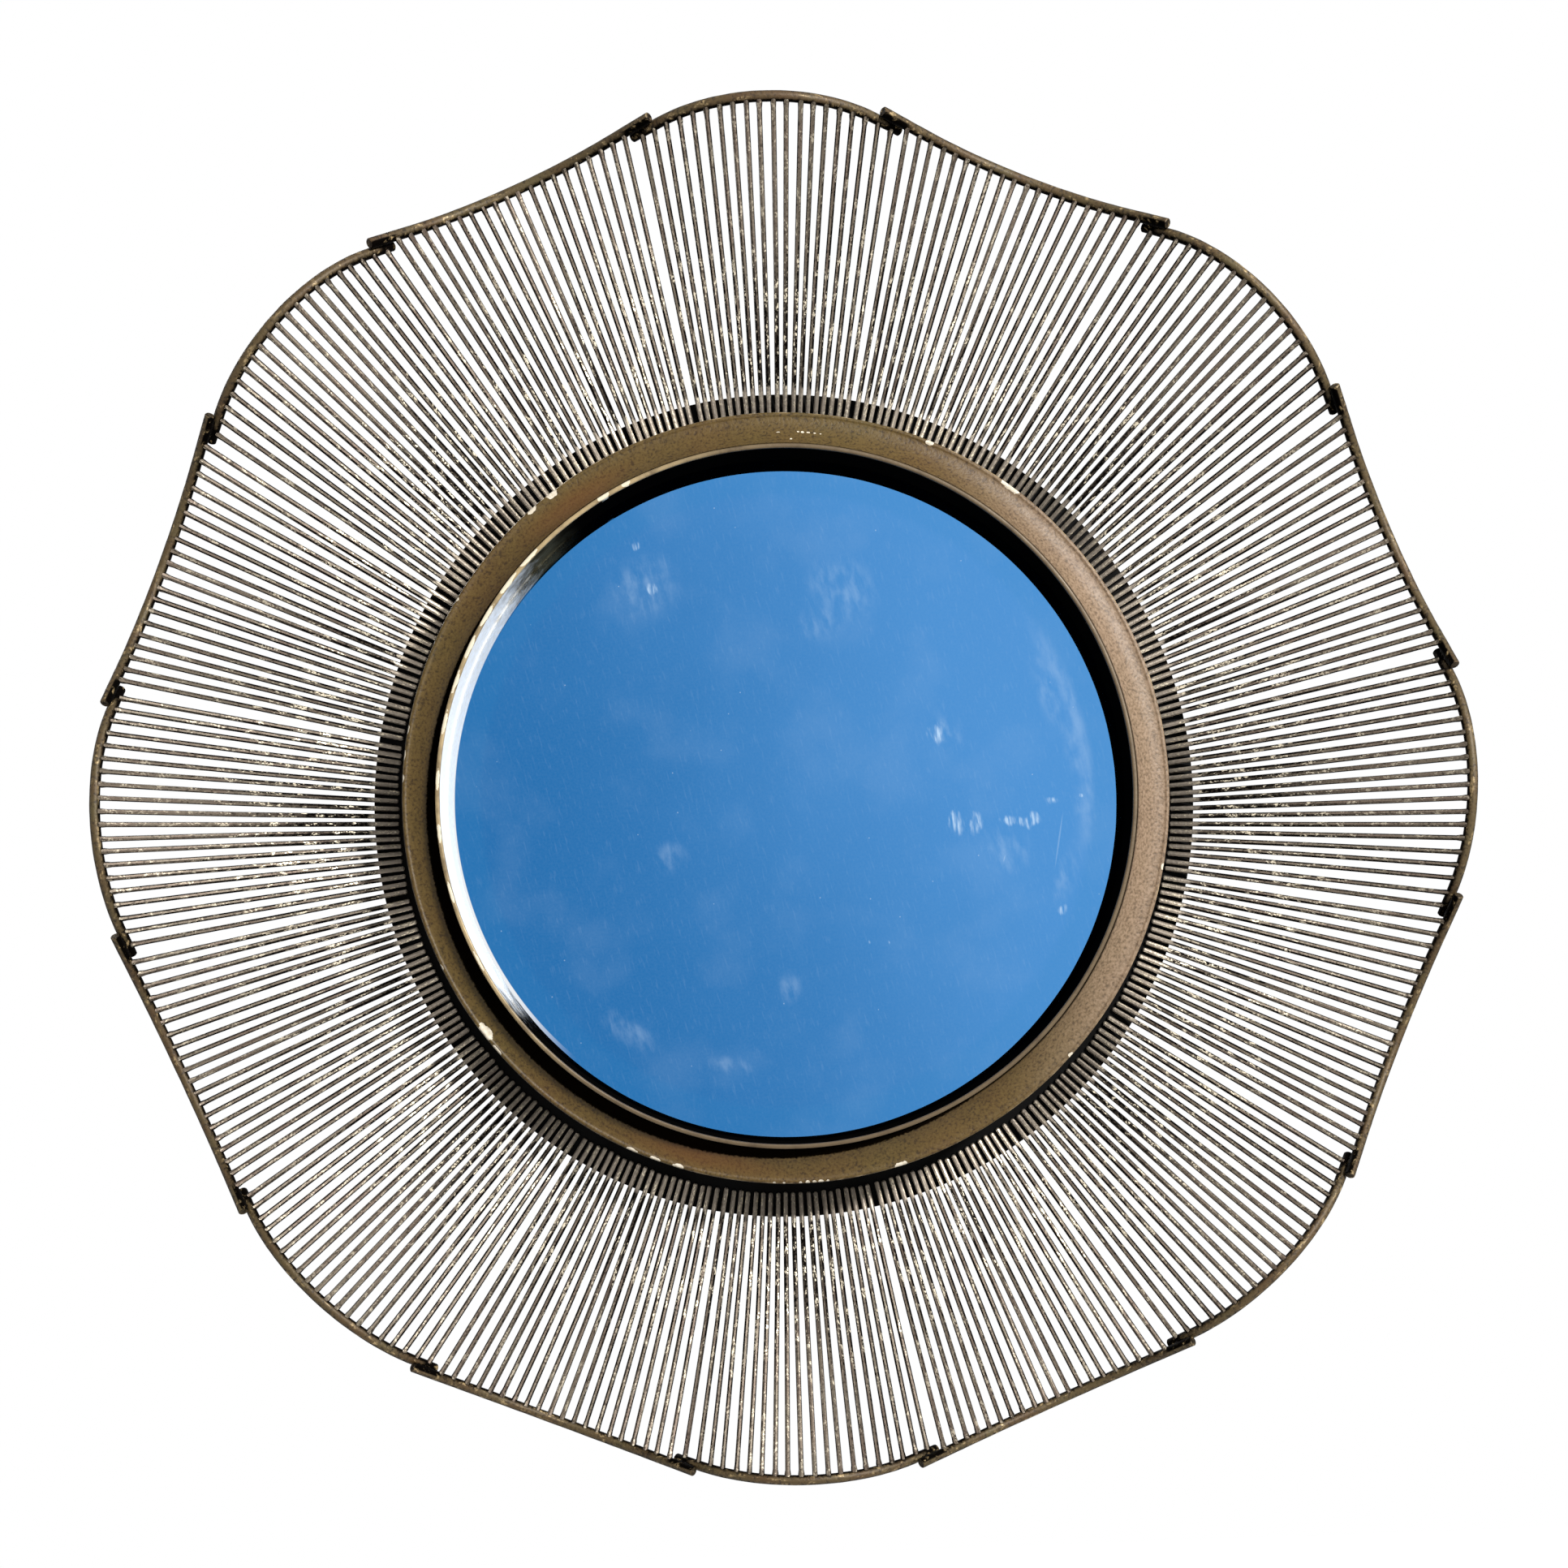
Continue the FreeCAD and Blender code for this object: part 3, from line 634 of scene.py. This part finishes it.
# %% Mirror
def sky_in_glass(tree, coordinates):
    """The sky's blue, which runs from the lower left to the right."""
    axes = add(tree, "SeparateXYZ", [coordinates]).node.outputs
    rise = scaled(tree, axes["Z"], 0.35)
    slant = add(tree, "Math", [axes["X"], rise], operation="ADD")
    cloudy = scaled(tree, grain(tree, coordinates, 60 * mm), 40 * mm)
    slant = add(tree, "Math", [slant, cloudy], operation="ADD")
    return coat(tree, "2770b0", "5095d7", ramp(tree, slant, -190 * mm, 240 * mm))


def mirror_silvering():
    material, tree, shader, coordinates = start("silvered_glass")
    radius = axis_distance(tree, coordinates)
    wiped = turned(tree, coordinates, -14)
    torn = grain(tree, wiped, 3.2 * mm, detail=8.0, stretch=(1.0, 1.0, 0.4))
    lines = ramp(tree, spots(tree, coordinates, scratch_lines), 0.0, 0.5)
    lines = scaled(tree, lines, 0.22)
    haze = haze_on_glass(tree, coordinates, radius, torn)
    pale = add(tree, "Math", [haze, film_on_glass(tree, coordinates, wiped)], operation="ADD")
    pale = add(tree, "Math", [pale, smears_on_glass(tree, coordinates, torn)], operation="ADD")
    pale = add(tree, "Math", [pale, lines], operation="ADD", use_clamp=True)
    base = coat(tree, sky_in_glass(tree, coordinates), "bcdaf7", pale)
    base = coat(tree, base, "2f86c4", ramp(tree, radius, 200 * mm, 207 * mm), 0.14)
    dust_spacing = 15 * mm
    dust = add(tree, "TexVoronoi", {"Vector": coordinates, "Scale": 1 / dust_spacing}, "Distance")
    base = coat(tree, base, "cfe4fa", ramp(tree, dust, 0.04, 0.02), 0.35)
    narrow = ramp(tree, radius, opening_radius - 5.6 * mm, opening_radius - 5.0 * mm)
    at_left = ramp(tree, toward(tree, coordinates, 276), 125 * mm, 175 * mm)
    border = scaled(tree, narrow, at_left)
    connect(tree, shader, {
        "Base Color": coat(tree, base, "eef1f4", border),
        "Roughness": between(tree, pale, 0.02, 0.2),
        "Metallic": 1.0,
    })
    return material


mirror_finish = mirror_silvering()
print("smears:", len(smears), "hazes:", len(hazes))

# %% [markdown]
# Behind the ring everything was sprayed with a thin black-brown lacquer. Its front faces are painted nearly
# black, darker than the lacquer on the backs, as painted shade behind the ring. It has an orange-peel
# texture, its edges are rubbed through to the brown steel, and toward the wall it is dusty, with a little
# rust.


# %% Dark lacquer on the drum and the hub plate
def dark_lacquer(name, edge_start, edge_end):
    material, tree, shader, coordinates = start(name)
    clouds = grain(tree, coordinates, 30 * mm, detail=5.0)
    peel = grain(tree, coordinates, 1.2 * mm, detail=1.0)
    scuffs = ramp(tree, grain(tree, coordinates, 9 * mm, detail=8.0, stretch=(1.0, 1.0, 0.3)), 0.86, 1.05)
    behind = ramp(tree, facing_front(tree, add(tree, "NewGeometry", {}, "Normal")), -0.3, -0.8)
    dusty = coat(tree, "1c1916", "2f2a25", clouds)
    dusty = coat(tree, dusty, "4a3524", ramp(tree, clouds, 0.75, 1.1), 0.6)
    # Nearly black on the front faces: the lacquer darkened into painted shade.
    base = coat(tree, coat(tree, "030303", "080706", clouds), dusty, behind)
    base = coat(tree, base, "2a2520", scuffs, 0.2)
    near_edge = ramp(tree, axis_distance(tree, coordinates), edge_start, edge_end)
    rubbed = scaled(tree, near_edge, ramp(tree, clouds, 0.4, 0.9))
    relief = add(tree, "Math", [peel, scuffs], operation="ADD")
    connect(tree, shader, {
        "Base Color": coat(tree, base, "3a2c1e", rubbed, 0.4),
        "Roughness": between(tree, clouds, 0.55, 0.75),
        "Specular IOR Level": between(tree, behind, 0.06, 0.3),
        "Normal": add(tree, "Bump", {"Height": relief, "Distance": 0.08 * mm, "Strength": 0.6}),
    })
    return material


drum_finish = dark_lacquer("black_brown_lacquer_drum", drum_radius, drum_radius + 1 * mm)
plate_finish = dark_lacquer("black_brown_lacquer_plate", plate_radius - 3 * mm, plate_radius)
print("lacquers made")

# %% [markdown]
# The rest is hardware and board: zinc-plated steel, brass-plated steel, rubber, cork and hardboard. These
# nodes keep their CAD meshes, which are already the shape of the real pieces.


# %% Hardware and board
def small_metal(name, dull, bright, size, roughness):
    """Plated steel, with spangles of this size in metres."""
    material, tree, shader, coordinates = start(name)
    spangle = add(tree, "TexVoronoi", {"Vector": coordinates, "Scale": 1 / size}, "Color")
    tarnish = grain(tree, coordinates, size * 2, detail=4.0)
    base = coat(tree, dull, bright, add(tree, "SeparateXYZ", [spangle], "X"))
    connect(tree, shader, {
        "Base Color": coat(tree, base, "4c443a", ramp(tree, tarnish, 0.6, 1.0), 0.5),
        "Roughness": between(tree, tarnish, roughness, roughness + 0.25),
        "Metallic": 1.0,
        "Normal": add(tree, "Bump", {"Height": tarnish, "Distance": 0.05 * mm, "Strength": 0.5}),
    })
    return material


def fibrous(name, dark, light, size, roughness, relief):
    """Board, cork or rubber, with fibres or grains of this size in metres."""
    material, tree, shader, coordinates = start(name)
    fibres = grain(tree, coordinates, size, detail=6.0, stretch=(1.0, 1.0, 0.55))
    stains = grain(tree, coordinates, size * 25)
    connect(tree, shader, {
        "Base Color": coat(tree, coat(tree, dark, light, fibres), dark, stains, 0.35),
        "Roughness": between(tree, fibres, roughness, roughness + 0.15),
        "Normal": add(tree, "Bump", {"Height": fibres, "Distance": relief, "Strength": 0.8}),
    })
    return material


zinc_finish = small_metal("zinc_plated_steel", "8f9294", "c3c6c8", 2.5 * mm, 0.3)
brass_finish = small_metal("brass_plated_steel", "9a7836", "d1ac5e", 2.0 * mm, 0.25)
board_finish = fibrous("hardboard", "4b2f1c", "77502f", 2.2 * mm, 0.6, 0.15 * mm)
cork_finish = fibrous("cork", "7a5533", "b58c5c", 1.8 * mm, 0.8, 0.3 * mm)
rubber_finish = fibrous("moulded_rubber", "0f0f0f", "262524", 0.9 * mm, 0.7, 0.05 * mm)
carried_over = {
    "mirror_glass": mirror_finish, "backing_board": board_finish, "glass_shims": cork_finish,
    "wall_bumpers": rubber_finish, "board_screws": zinc_finish, "ring_screws": zinc_finish,
    "drum_brackets": zinc_finish, "bracket_rivets": zinc_finish, "hanger_rivets": zinc_finish,
    "hanger_strap_left": brass_finish, "hanger_strap_right": brass_finish,
    "hanger_ring_left": brass_finish, "hanger_ring_right": brass_finish,
}
for node, finish in carried_over.items():
    mesh = frame["nodes"][node].data
    mesh.materials.clear()
    mesh.materials.append(finish)
print("CAD nodes that stay:", len(carried_over))

# %% [markdown]
# ## Pieces
# Every new piece ends the same way: faces pointing outwards, smooth shading with hard edges kept where
# the surface really turns, a finish, a body to ride on, and the CAD node that it stands for.

# %% Finish a piece
hard_edge = math.radians(38)


def finish_piece(name, bm, finish, nodes):
    bmesh.ops.recalc_face_normals(bm, faces=bm.faces)
    for face in bm.faces:
        face.smooth = True
    for edge in bm.edges:
        if edge.is_manifold and edge.calc_face_angle() > hard_edge:
            edge.smooth = False
    mesh = bpy.data.meshes.new(name)
    bm.to_mesh(mesh)
    bm.free()
    mesh.materials.append(finish)
    piece = bpy.data.objects.new(name, mesh)
    bpy.context.scene.collection.objects.link(piece)
    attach(piece, "mirror")
    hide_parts(*nodes)
    print(name, len(mesh.polygons), "faces")


# %% [markdown]
# The ring, the hoop, the drum and the plate were all turned or rolled, so each is a section spun about the
# mirror's axis. A section is a list of (radius, depth) points, and arcs are worked out between them.

# %% Spin a section
sheet_turns = 256
fine_turns = 320


def arc(centre, radius, start_angle, end_angle, steps):
    """Points on an arc in a section. An angle of 0 points outwards and 90 points forwards."""
    points = []
    for step in range(steps + 1):
        angle = math.radians(start_angle + (end_angle - start_angle) * step / steps)
        points.append((centre[0] + radius * math.cos(angle), centre[1] + radius * math.sin(angle)))
    return points


def spun(section, steps):
    bm = bmesh.new()
    corners = [bm.verts.new((0, -depth, radius)) for radius, depth in section]
    edges = [bm.edges.new((a, b)) for a, b in zip(corners, corners[1:] + corners[:1])]
    bmesh.ops.spin(bm, geom=corners + edges, cent=(0, 0, 0), axis=(0, 1, 0), dvec=(0, 0, 0),
                   angle=math.tau, space=Matrix.Identity(4), steps=steps, use_merge=True,
                   use_normal_flip=False, use_duplicate=False)
    bmesh.ops.remove_doubles(bm, verts=bm.verts, dist=0.001 * mm)
    return bm


def roughen(bm, size, height, along):
    """Moves the vertices along their normals by smooth noise, as hand finishing does."""
    bm.normal_update()
    moves = [vert.normal * noise.noise(vert.co / size + Vector((along, 0, 0))) * height for vert in bm.verts]
    for vert, move in zip(bm.verts, moves):
        vert.co += move


# %% [markdown]
# The cast ring falls from the hoop in a hollow cove and ends in a small rounded bead. A shallow groove next
# to the hoop draws the dark seam.

# %% Front ring
inner = hoop_radius + 0.3 * mm
crown = hoop_front - 5.5 * mm
cove_low = drum_front + 7 * mm
bead = 1.75 * mm
bead_drop = 1.2 * mm
cove_start = inner + 1.5 * mm
cove_end = ring_radius - 2 * bead
cove_rise = crown - cove_low
cove_width = cove_end - cove_start
cove_radius = (cove_width**2 + cove_rise**2) / (2 * cove_rise)
cove_angle = math.degrees(math.asin(cove_width / cove_radius))
seam = 0.7 * mm
shoulder = 0.5 * mm
rebate_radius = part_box("mirror_glass")[1].z + 0.5 * mm
boss_radius = drum_radius - 1.8 * mm
board_front = depth_range("backing_board")[1]
ring_section = [(inner + 0.3 * mm, glass_front), (inner + 0.1 * mm, crown - 2 * seam)]
ring_section += [(inner + seam, crown - 0.3 * mm)]
ring_section += arc((cove_start - shoulder, crown - shoulder), shoulder, 120, 50, 3)
ring_section += arc((cove_end, cove_low + cove_radius), cove_radius, 270 - cove_angle, 270, 14)[1:]
ring_section += arc((ring_radius - bead, cove_low - bead_drop), bead, 132, 0, 8)
ring_section += [(ring_radius, drum_front + 1.2 * mm), (ring_radius - 0.4 * mm, drum_front + 0.4 * mm)]
ring_section += [(ring_radius - 1.2 * mm, drum_front), (boss_radius, drum_front), (boss_radius, board_front)]
ring_section += [(rebate_radius, board_front), (rebate_radius, glass_front)]
ring = spun(ring_section, fine_turns)
roughen(ring, 9 * mm, 0.12 * mm, 1.7)
roughen(ring, 55 * mm, 0.25 * mm, 4.1)
finish_piece("cove_ring", ring, ring_finish, ["front_ring"])

# %% [markdown]
# The hoop is a plain band. Its front edge is rounded over, a little more on the inside.

# %% Hoop
inner_round = 1.2 * mm
outer_round = 0.9 * mm
hoop_section = [(opening_radius, glass_front)]
hoop_section += arc((opening_radius + inner_round, hoop_front - inner_round), inner_round, 180, 90, 5)
hoop_section += arc((hoop_radius - outer_round, hoop_front - outer_round), outer_round, 90, 0, 4)
hoop_section += [(hoop_radius, glass_front)]
hoop = spun(hoop_section, fine_turns)
roughen(hoop, 14 * mm, 0.1 * mm, 2.9)
finish_piece("recess_hoop", hoop, hoop_finish, ["mirror_hoop"])

# %% [markdown]
# The drum and the plate are sheet steel, so their edges only need a small chamfer that catches the light.


# %% Drum and hub plate
def chamfered(low, high, chamfer):
    """A rectangular section with its corners taken off. low and high are (radius, depth)."""
    (r0, d0), (r1, d1) = low, high
    return [(r0 + chamfer, d0), (r0, d0 + chamfer), (r0, d1 - chamfer), (r0 + chamfer, d1),
            (r1 - chamfer, d1), (r1, d1 - chamfer), (r1, d0 + chamfer), (r1 - chamfer, d0)]


drum_inner = drum_radius - 1.5 * mm
drum = spun(chamfered((drum_inner, drum_back), (drum_radius, drum_front), 0.2 * mm), sheet_turns)
finish_piece("drum_wall", drum, drum_finish, ["drum_shell"])
plate_opening = 180 * mm
plate = spun(chamfered((plate_opening, plate_back), (plate_radius, plate_front), 0.35 * mm), sheet_turns)
finish_piece("hub_disc", plate, plate_finish, ["hub_plate"])

# %% [markdown]
# ## The rim bars
# Each bar is a rod that was bent to an arc with straight ends. A straight rod is made first and then bent:
# a vertex that lies so far along the rod goes to the same distance along the bar's path.

# %% The path of a rim bar
pairs = 8
panel = 180.0 / pairs
half_panel = math.radians(panel / 2)
rim_radius = 447 * mm
lap_depth = 62.5 * mm
lap_spacing = 2 * bar_radius + 1.9 * mm
lap_angle = math.radians(75)
lap_out = lap_spacing / 2 * math.cos(lap_angle)
lap_forward = lap_spacing / 2 * math.sin(lap_angle)
end_straight = 20 * mm


class RimPath:
    """An arc between two straight ends, at the top of the mirror, measured from its middle.
    Side is -1 for a crest bar and 1 for a trough bar, which lies outside and in front at the lap."""

    def __init__(self, side, apex_depth, overrun):
        radius = rim_radius + side * lap_out
        rise = apex_depth - lap_depth - side * lap_forward
        half_chord = radius * math.sin(half_panel)
        across = radius * (1 - math.cos(half_panel))
        sagitta = math.hypot(across, rise)
        self.end_angle = 2 * math.atan(sagitta / (half_chord + end_straight))
        self.arc_radius = (half_chord - end_straight * math.cos(self.end_angle)) / math.sin(self.end_angle)
        self.arc_length = self.arc_radius * self.end_angle
        self.apex = Vector((0, -apex_depth, radius))
        self.lean = Vector((0, rise, -across)) / sagitta
        self.half_length = self.arc_length + end_straight + overrun

    def at(self, distance):
        """The point and the direction of the path at a distance along it."""
        side = 1 if distance >= 0 else -1
        angle = min(abs(distance) / self.arc_radius, self.end_angle)
        beyond = max(0.0, abs(distance) - self.arc_length)
        direction = Vector((math.cos(angle), 0, 0)) + self.lean * math.sin(angle) * side
        along = self.arc_radius * math.sin(angle) + beyond * math.cos(angle)
        down = self.arc_radius * (1 - math.cos(angle)) + beyond * math.sin(angle)
        return self.apex + Vector((side * along, 0, 0)) + self.lean * down, direction

    def at_offset(self, offset):
        """The same, at a sideways offset from the middle. It halves the stretch that holds it 40 times."""
        low, high = -self.half_length, self.half_length
        for _ in range(40):
            middle = (low + high) / 2
            if self.at(middle)[0].x < offset:
                low = middle
            else:
                high = middle
        return self.at(low)


crest_path = RimPath(-1, crest_depth, 1 * mm)
trough_path = RimPath(1, trough_depth, 15 * mm)
for kind, path in (("crest", crest_path), ("trough", trough_path)):
    print("half a", kind, "bar", round(path.half_length / mm), "mm")

# %% [markdown]
# A rod is a circle that is extruded from station to station, with its size set at each one.


# %% Rods through stations
def rod(stations, sides):
    """A round rod along Z through (height, radius) stations, closed at both ends."""
    bm = bmesh.new()
    first_height, first_radius = stations[0]
    bmesh.ops.create_circle(bm, cap_ends=False, segments=sides, radius=first_radius,
                            matrix=Matrix.Translation((0, 0, first_height)))
    loop = bm.edges[:]
    for (height, radius), (next_height, next_radius) in zip(stations, stations[1:]):
        grown = bmesh.ops.extrude_edge_only(bm, edges=loop)["geom"]
        verts = [item for item in grown if isinstance(item, bmesh.types.BMVert)]
        fresh = set(verts)
        loop = [edge for vert in verts for edge in vert.link_edges if edge.other_vert(vert) in fresh]
        loop = list(set(loop))
        size = next_radius / radius
        bmesh.ops.scale(bm, vec=(size, size, 1), verts=verts)
        bmesh.ops.translate(bm, vec=(0, 0, next_height - height), verts=verts)
    bmesh.ops.holes_fill(bm, edges=[edge for edge in bm.edges if edge.is_boundary], sides=0)
    return bm


bar_sides = 14
bar_steps = 44
sawn_chamfer = 0.5 * mm
# The rod keeps this much inside its CAD size, so that its roughness doesn't stand out past the model.
roughness_room = 0.07 * mm


def bar_stations(half_length):
    """Closely spaced stations, with a sawn end that has lost its sharp corner."""
    skin = bar_radius - roughness_room
    inner_end = half_length - sawn_chamfer
    stations = [(-half_length, skin - sawn_chamfer)]
    stations += [(inner_end * (2 * step / bar_steps - 1), skin) for step in range(bar_steps + 1)]
    return stations + [(half_length, skin - sawn_chamfer)]


def bent(bm, path):
    """Bends a straight rod along a rim path."""
    across = Vector((1, 0, 0)).cross(path.lean)
    for vert in bm.verts:
        point, direction = path.at(vert.co.z)
        vert.co = point + across * vert.co.x + across.cross(direction) * vert.co.y
    return bm


# %% [markdown]
# The rods are a little uneven, from bending and from the weld at each lap. Where a long bar ends on a short
# one, a few beads of weld hold them.

# %% Weld beads at a lap
rng = random.Random(11)
# How far each bead lies from the end of the bar, and its radius, in mm
beads = ((3.0, 1.9), (6.5, 2.2), (10.0, 2.3), (13.5, 2.0))


def weld_bead(bm, centre, size, squash):
    """A lump of weld: a small ball that is pressed flat along the bar's side."""
    made = bmesh.ops.create_icosphere(bm, subdivisions=2, radius=size, matrix=Matrix.Identity(4))["verts"]
    for vert in made:
        vert.co *= 1 + 0.22 * noise.noise(vert.co / (1.5 * mm) + centre / mm)
    bmesh.ops.scale(bm, vec=squash, verts=made)
    bmesh.ops.translate(bm, vec=centre, verts=made)


def lap_beads(bm):
    """Beads at both ends of a trough bar, between it and the crest bar that it lies over."""
    for side in (-1, 1):
        for back, size in beads:
            point = trough_path.at(side * (trough_path.half_length - back * mm))[0]
            outwards = Vector((point.x, 0, point.z)).normalized()
            toward_crest = Vector((0, lap_forward, 0)) - outwards * lap_out
            weld_bead(bm, point + toward_crest, size * mm, (1.2, 1, 1))


# %% Rim bars
panels = []
for kind, path, first_angle in (("crest", crest_path, 0.0), ("trough", trough_path, panel)):
    panels += [(kind, path, first_angle + index * 2 * panel, str(index + 1)) for index in range(pairs)]


def place(bm, angle):
    bmesh.ops.rotate(bm, cent=(0, 0, 0), matrix=Matrix.Rotation(math.radians(angle), 3, "Y"), verts=bm.verts)


for kind, path, angle, number in panels:
    bar = bent(rod(bar_stations(path.half_length), bar_sides), path)
    if kind == "trough":
        lap_beads(bar)
    place(bar, angle)
    roughen(bar, 7 * mm, 0.12 * mm, rng.uniform(0, 50))
    node = kind + "_bar_" + number
    finish_piece("rim_" + node, bar, bar_finishes[kind], [node])

# %% [markdown]
# ## The sunburst
# The wires are all alike but never quite the same: cut by hand, laid by eye and welded one by one. Each has
# a blunt tip, a shaft that bows a fraction of a millimetre, and an end that swells where the weld runs up
# onto the bar. With 320 of them, each has only a few dozen faces.

# %% One wire
wire_radius = 1.6 * mm
wire_sides = 8
# An eight-sided wire's corners lie a little outside its circle, so that it looks as thick as a round one.
wire_corner = wire_radius / math.cos(math.pi / wire_sides) * 0.98
wires_per_panel = 20
wire_angle = math.radians(panel * 0.987 / wires_per_panel)
hub_radius = 267.5 * mm
wire_lift = 0.2 * mm
droop_start = 2.0 * mm


def wire(path, offset):
    """One wire of the panel at the top of the mirror, to the bar at a sideways offset."""
    target, bar_direction = path.at_offset(offset)
    angle = math.atan2(target.x, target.z) + rng.gauss(0, 0.0005)
    root = hub_radius + rng.uniform(-0.9, 0.5) * mm
    first = Vector((root * math.sin(angle), -(plate_front + wire_lift + wire_radius), root * math.cos(angle)))
    direction = (target - first).normalized()
    lean = abs(direction.dot(bar_direction))
    stop = bar_radius / math.sqrt(1 - lean**2)
    length = (target - first).length - stop
    swell = rng.uniform(1.05, 1.3)
    shape = [(-1.5 * mm, 0.35), (-1.15 * mm, 0.7), (-0.6 * mm, 0.93), (0.1 * mm, 1), (length * 0.5, 1),
             (length - 3.5 * mm, 1), (length - 0.8 * mm, swell), (length + 1.3 * mm, 1.2)]
    bm = rod([(height, share * wire_corner) for height, share in shape], wire_sides)
    bow = Vector((rng.gauss(0, 0.25) * mm, rng.gauss(0, 0.2) * mm, 0))
    for vert in bm.verts:
        share = max(0.0, min(1.0, vert.co.z / length))
        vert.co += bow * 4 * share * (1 - share)
    turn = direction.to_track_quat("Z", "Y").to_matrix().to_4x4()
    bmesh.ops.transform(bm, matrix=Matrix.Translation(first) @ turn, verts=bm.verts)
    for vert in bm.verts:
        past = (vert.co - first).dot(direction) - (length - droop_start)
        if past > 0:
            vert.co.y -= min(past, 3.0 * mm) * 0.45
    return bm


def joined(parts):
    """Several meshes as one."""
    whole = bmesh.new()
    for part in parts:
        mesh = bpy.data.meshes.new("part")
        part.to_mesh(mesh)
        part.free()
        whole.from_mesh(mesh)
        bpy.data.meshes.remove(mesh)
    return whole


# %% Wires, panel by panel
for kind, path, angle, number in panels:
    wires = []
    for place_in_panel in range(wires_per_panel):
        sideways = (place_in_panel - (wires_per_panel - 1) / 2) * wire_angle
        wires.append(wire(path, rim_radius * math.sin(sideways) + rng.gauss(0, 0.25) * mm))
    fan = joined(wires)
    place(fan, angle)
    node = kind + "_wires_" + number
    finish_piece("fan_" + node, fan, wire_finish, [node])

# %% [markdown]
# ## Floor, light and camera
# The photograph shows the mirror cut out on white. Here a white world stands behind it, and a pale floor
# lies well below, which keeps the object's shadow. The camera and the mirror glass see both as white, but
# they light the object only weakly, so the shaded sides of the bars stay dark, as they are in the
# photograph.

# %% World and floor
sky_fill = 0.07
floor_glow = 0.86
floor_height = -1.25
floor_half_width = 2.4


def seen(tree):
    """1 for rays that the camera sends, straight or by way of a mirror or a glass, and 0 for light."""
    rays = add(tree, "LightPath", {}).node.outputs
    straight = add(tree, "Math", [rays["Is Camera Ray"], rays["Is Glossy Ray"]], operation="MAXIMUM")
    return add(tree, "Math", [straight, rays["Is Transmission Ray"]], operation="MAXIMUM")


world = bpy.data.worlds.new("studio")
bpy.context.scene.world = world
world.use_nodes = True
tree = world.node_tree
strength = between(tree, seen(tree), sky_fill, 1.0)
connect(tree, tree.nodes["Background"], {"Color": (1, 1, 1, 1), "Strength": strength})

floor_bm = bmesh.new()
bmesh.ops.create_grid(floor_bm, x_segments=1, y_segments=1, size=floor_half_width,
                      matrix=Matrix.Translation((0, 0, floor_height)))
floor_mesh = bpy.data.meshes.new("floor")
floor_bm.to_mesh(floor_mesh)
floor_bm.free()
floor = bpy.data.objects.new("floor", floor_mesh)
bpy.context.scene.collection.objects.link(floor)
floor_finish, tree, shader, coordinates = start("pale_floor")
connect(tree, shader, {
    "Base Color": linear("a3a2a0"),
    "Roughness": 0.9,
    "Emission Color": (1, 1, 1, 1),
    "Emission Strength": scaled(tree, seen(tree), floor_glow),
})
floor_mesh.materials.append(floor_finish)
print("floor", floor_height, "m below the mirror's middle")

# %% [markdown]
# One small strong lamp stands at the upper right, where the sun is in the photograph, and gives the hoop and
# the ring their hard shadows. A weaker lamp behind shows the form of the back in views from there.

# %% Lamps


def lamp(name, place_at, size, power):
    """A square lamp that looks at the mirror."""
    light = bpy.data.lights.new(name, "AREA")
    light.size = size
    light.energy = power
    holder = bpy.data.objects.new(name, light)
    bpy.context.scene.collection.objects.link(holder)
    holder.location = place_at
    holder.rotation_euler = (-Vector(place_at)).to_track_quat("-Z", "Y").to_euler()
    print(name, "lamp", power, "W")


key_distance = 3.5
key_tilt = math.radians(40)
key_turn = math.radians(53)
off_axis = math.sin(key_tilt)
key_place = Vector((math.sin(key_turn) * off_axis, -math.cos(key_tilt), math.cos(key_turn) * off_axis))
lamp("key", key_place * key_distance, 0.3, 185)
lamp("back", (-1.6, 2.8, 1.8), 1.2, 90)

# %% [markdown]
# The camera stands 1.35 m in front of the wall and a little below the middle. It looks slightly down and is
# rolled a little, and its lens is shifted up, because the photograph's outline asks for that.

# %% Camera
camera = bpy.data.objects.new("camera", bpy.data.cameras.new("camera"))
bpy.context.scene.collection.objects.link(camera)
bpy.context.scene.camera = camera
camera.data.sensor_width = 36
camera.data.lens = 44.415
camera.data.shift_y = 0.17
camera.location = Vector((-26.9, -1350, -114.7)) * mm
camera_yaw = math.radians(-0.89)
camera_pitch = math.radians(-2.23)
camera_roll = math.radians(-1.77)
upright = Matrix.Rotation(math.radians(90) + camera_pitch, 3, "X")
camera_turn = Matrix.Rotation(camera_yaw, 3, "Z") @ upright @ Matrix.Rotation(camera_roll, 3, "Z")
camera.rotation_euler = camera_turn.to_euler()
bpy.context.scene.view_settings.view_transform = "Standard"
print("camera", round(-camera.location.y, 2), "m from the wall")
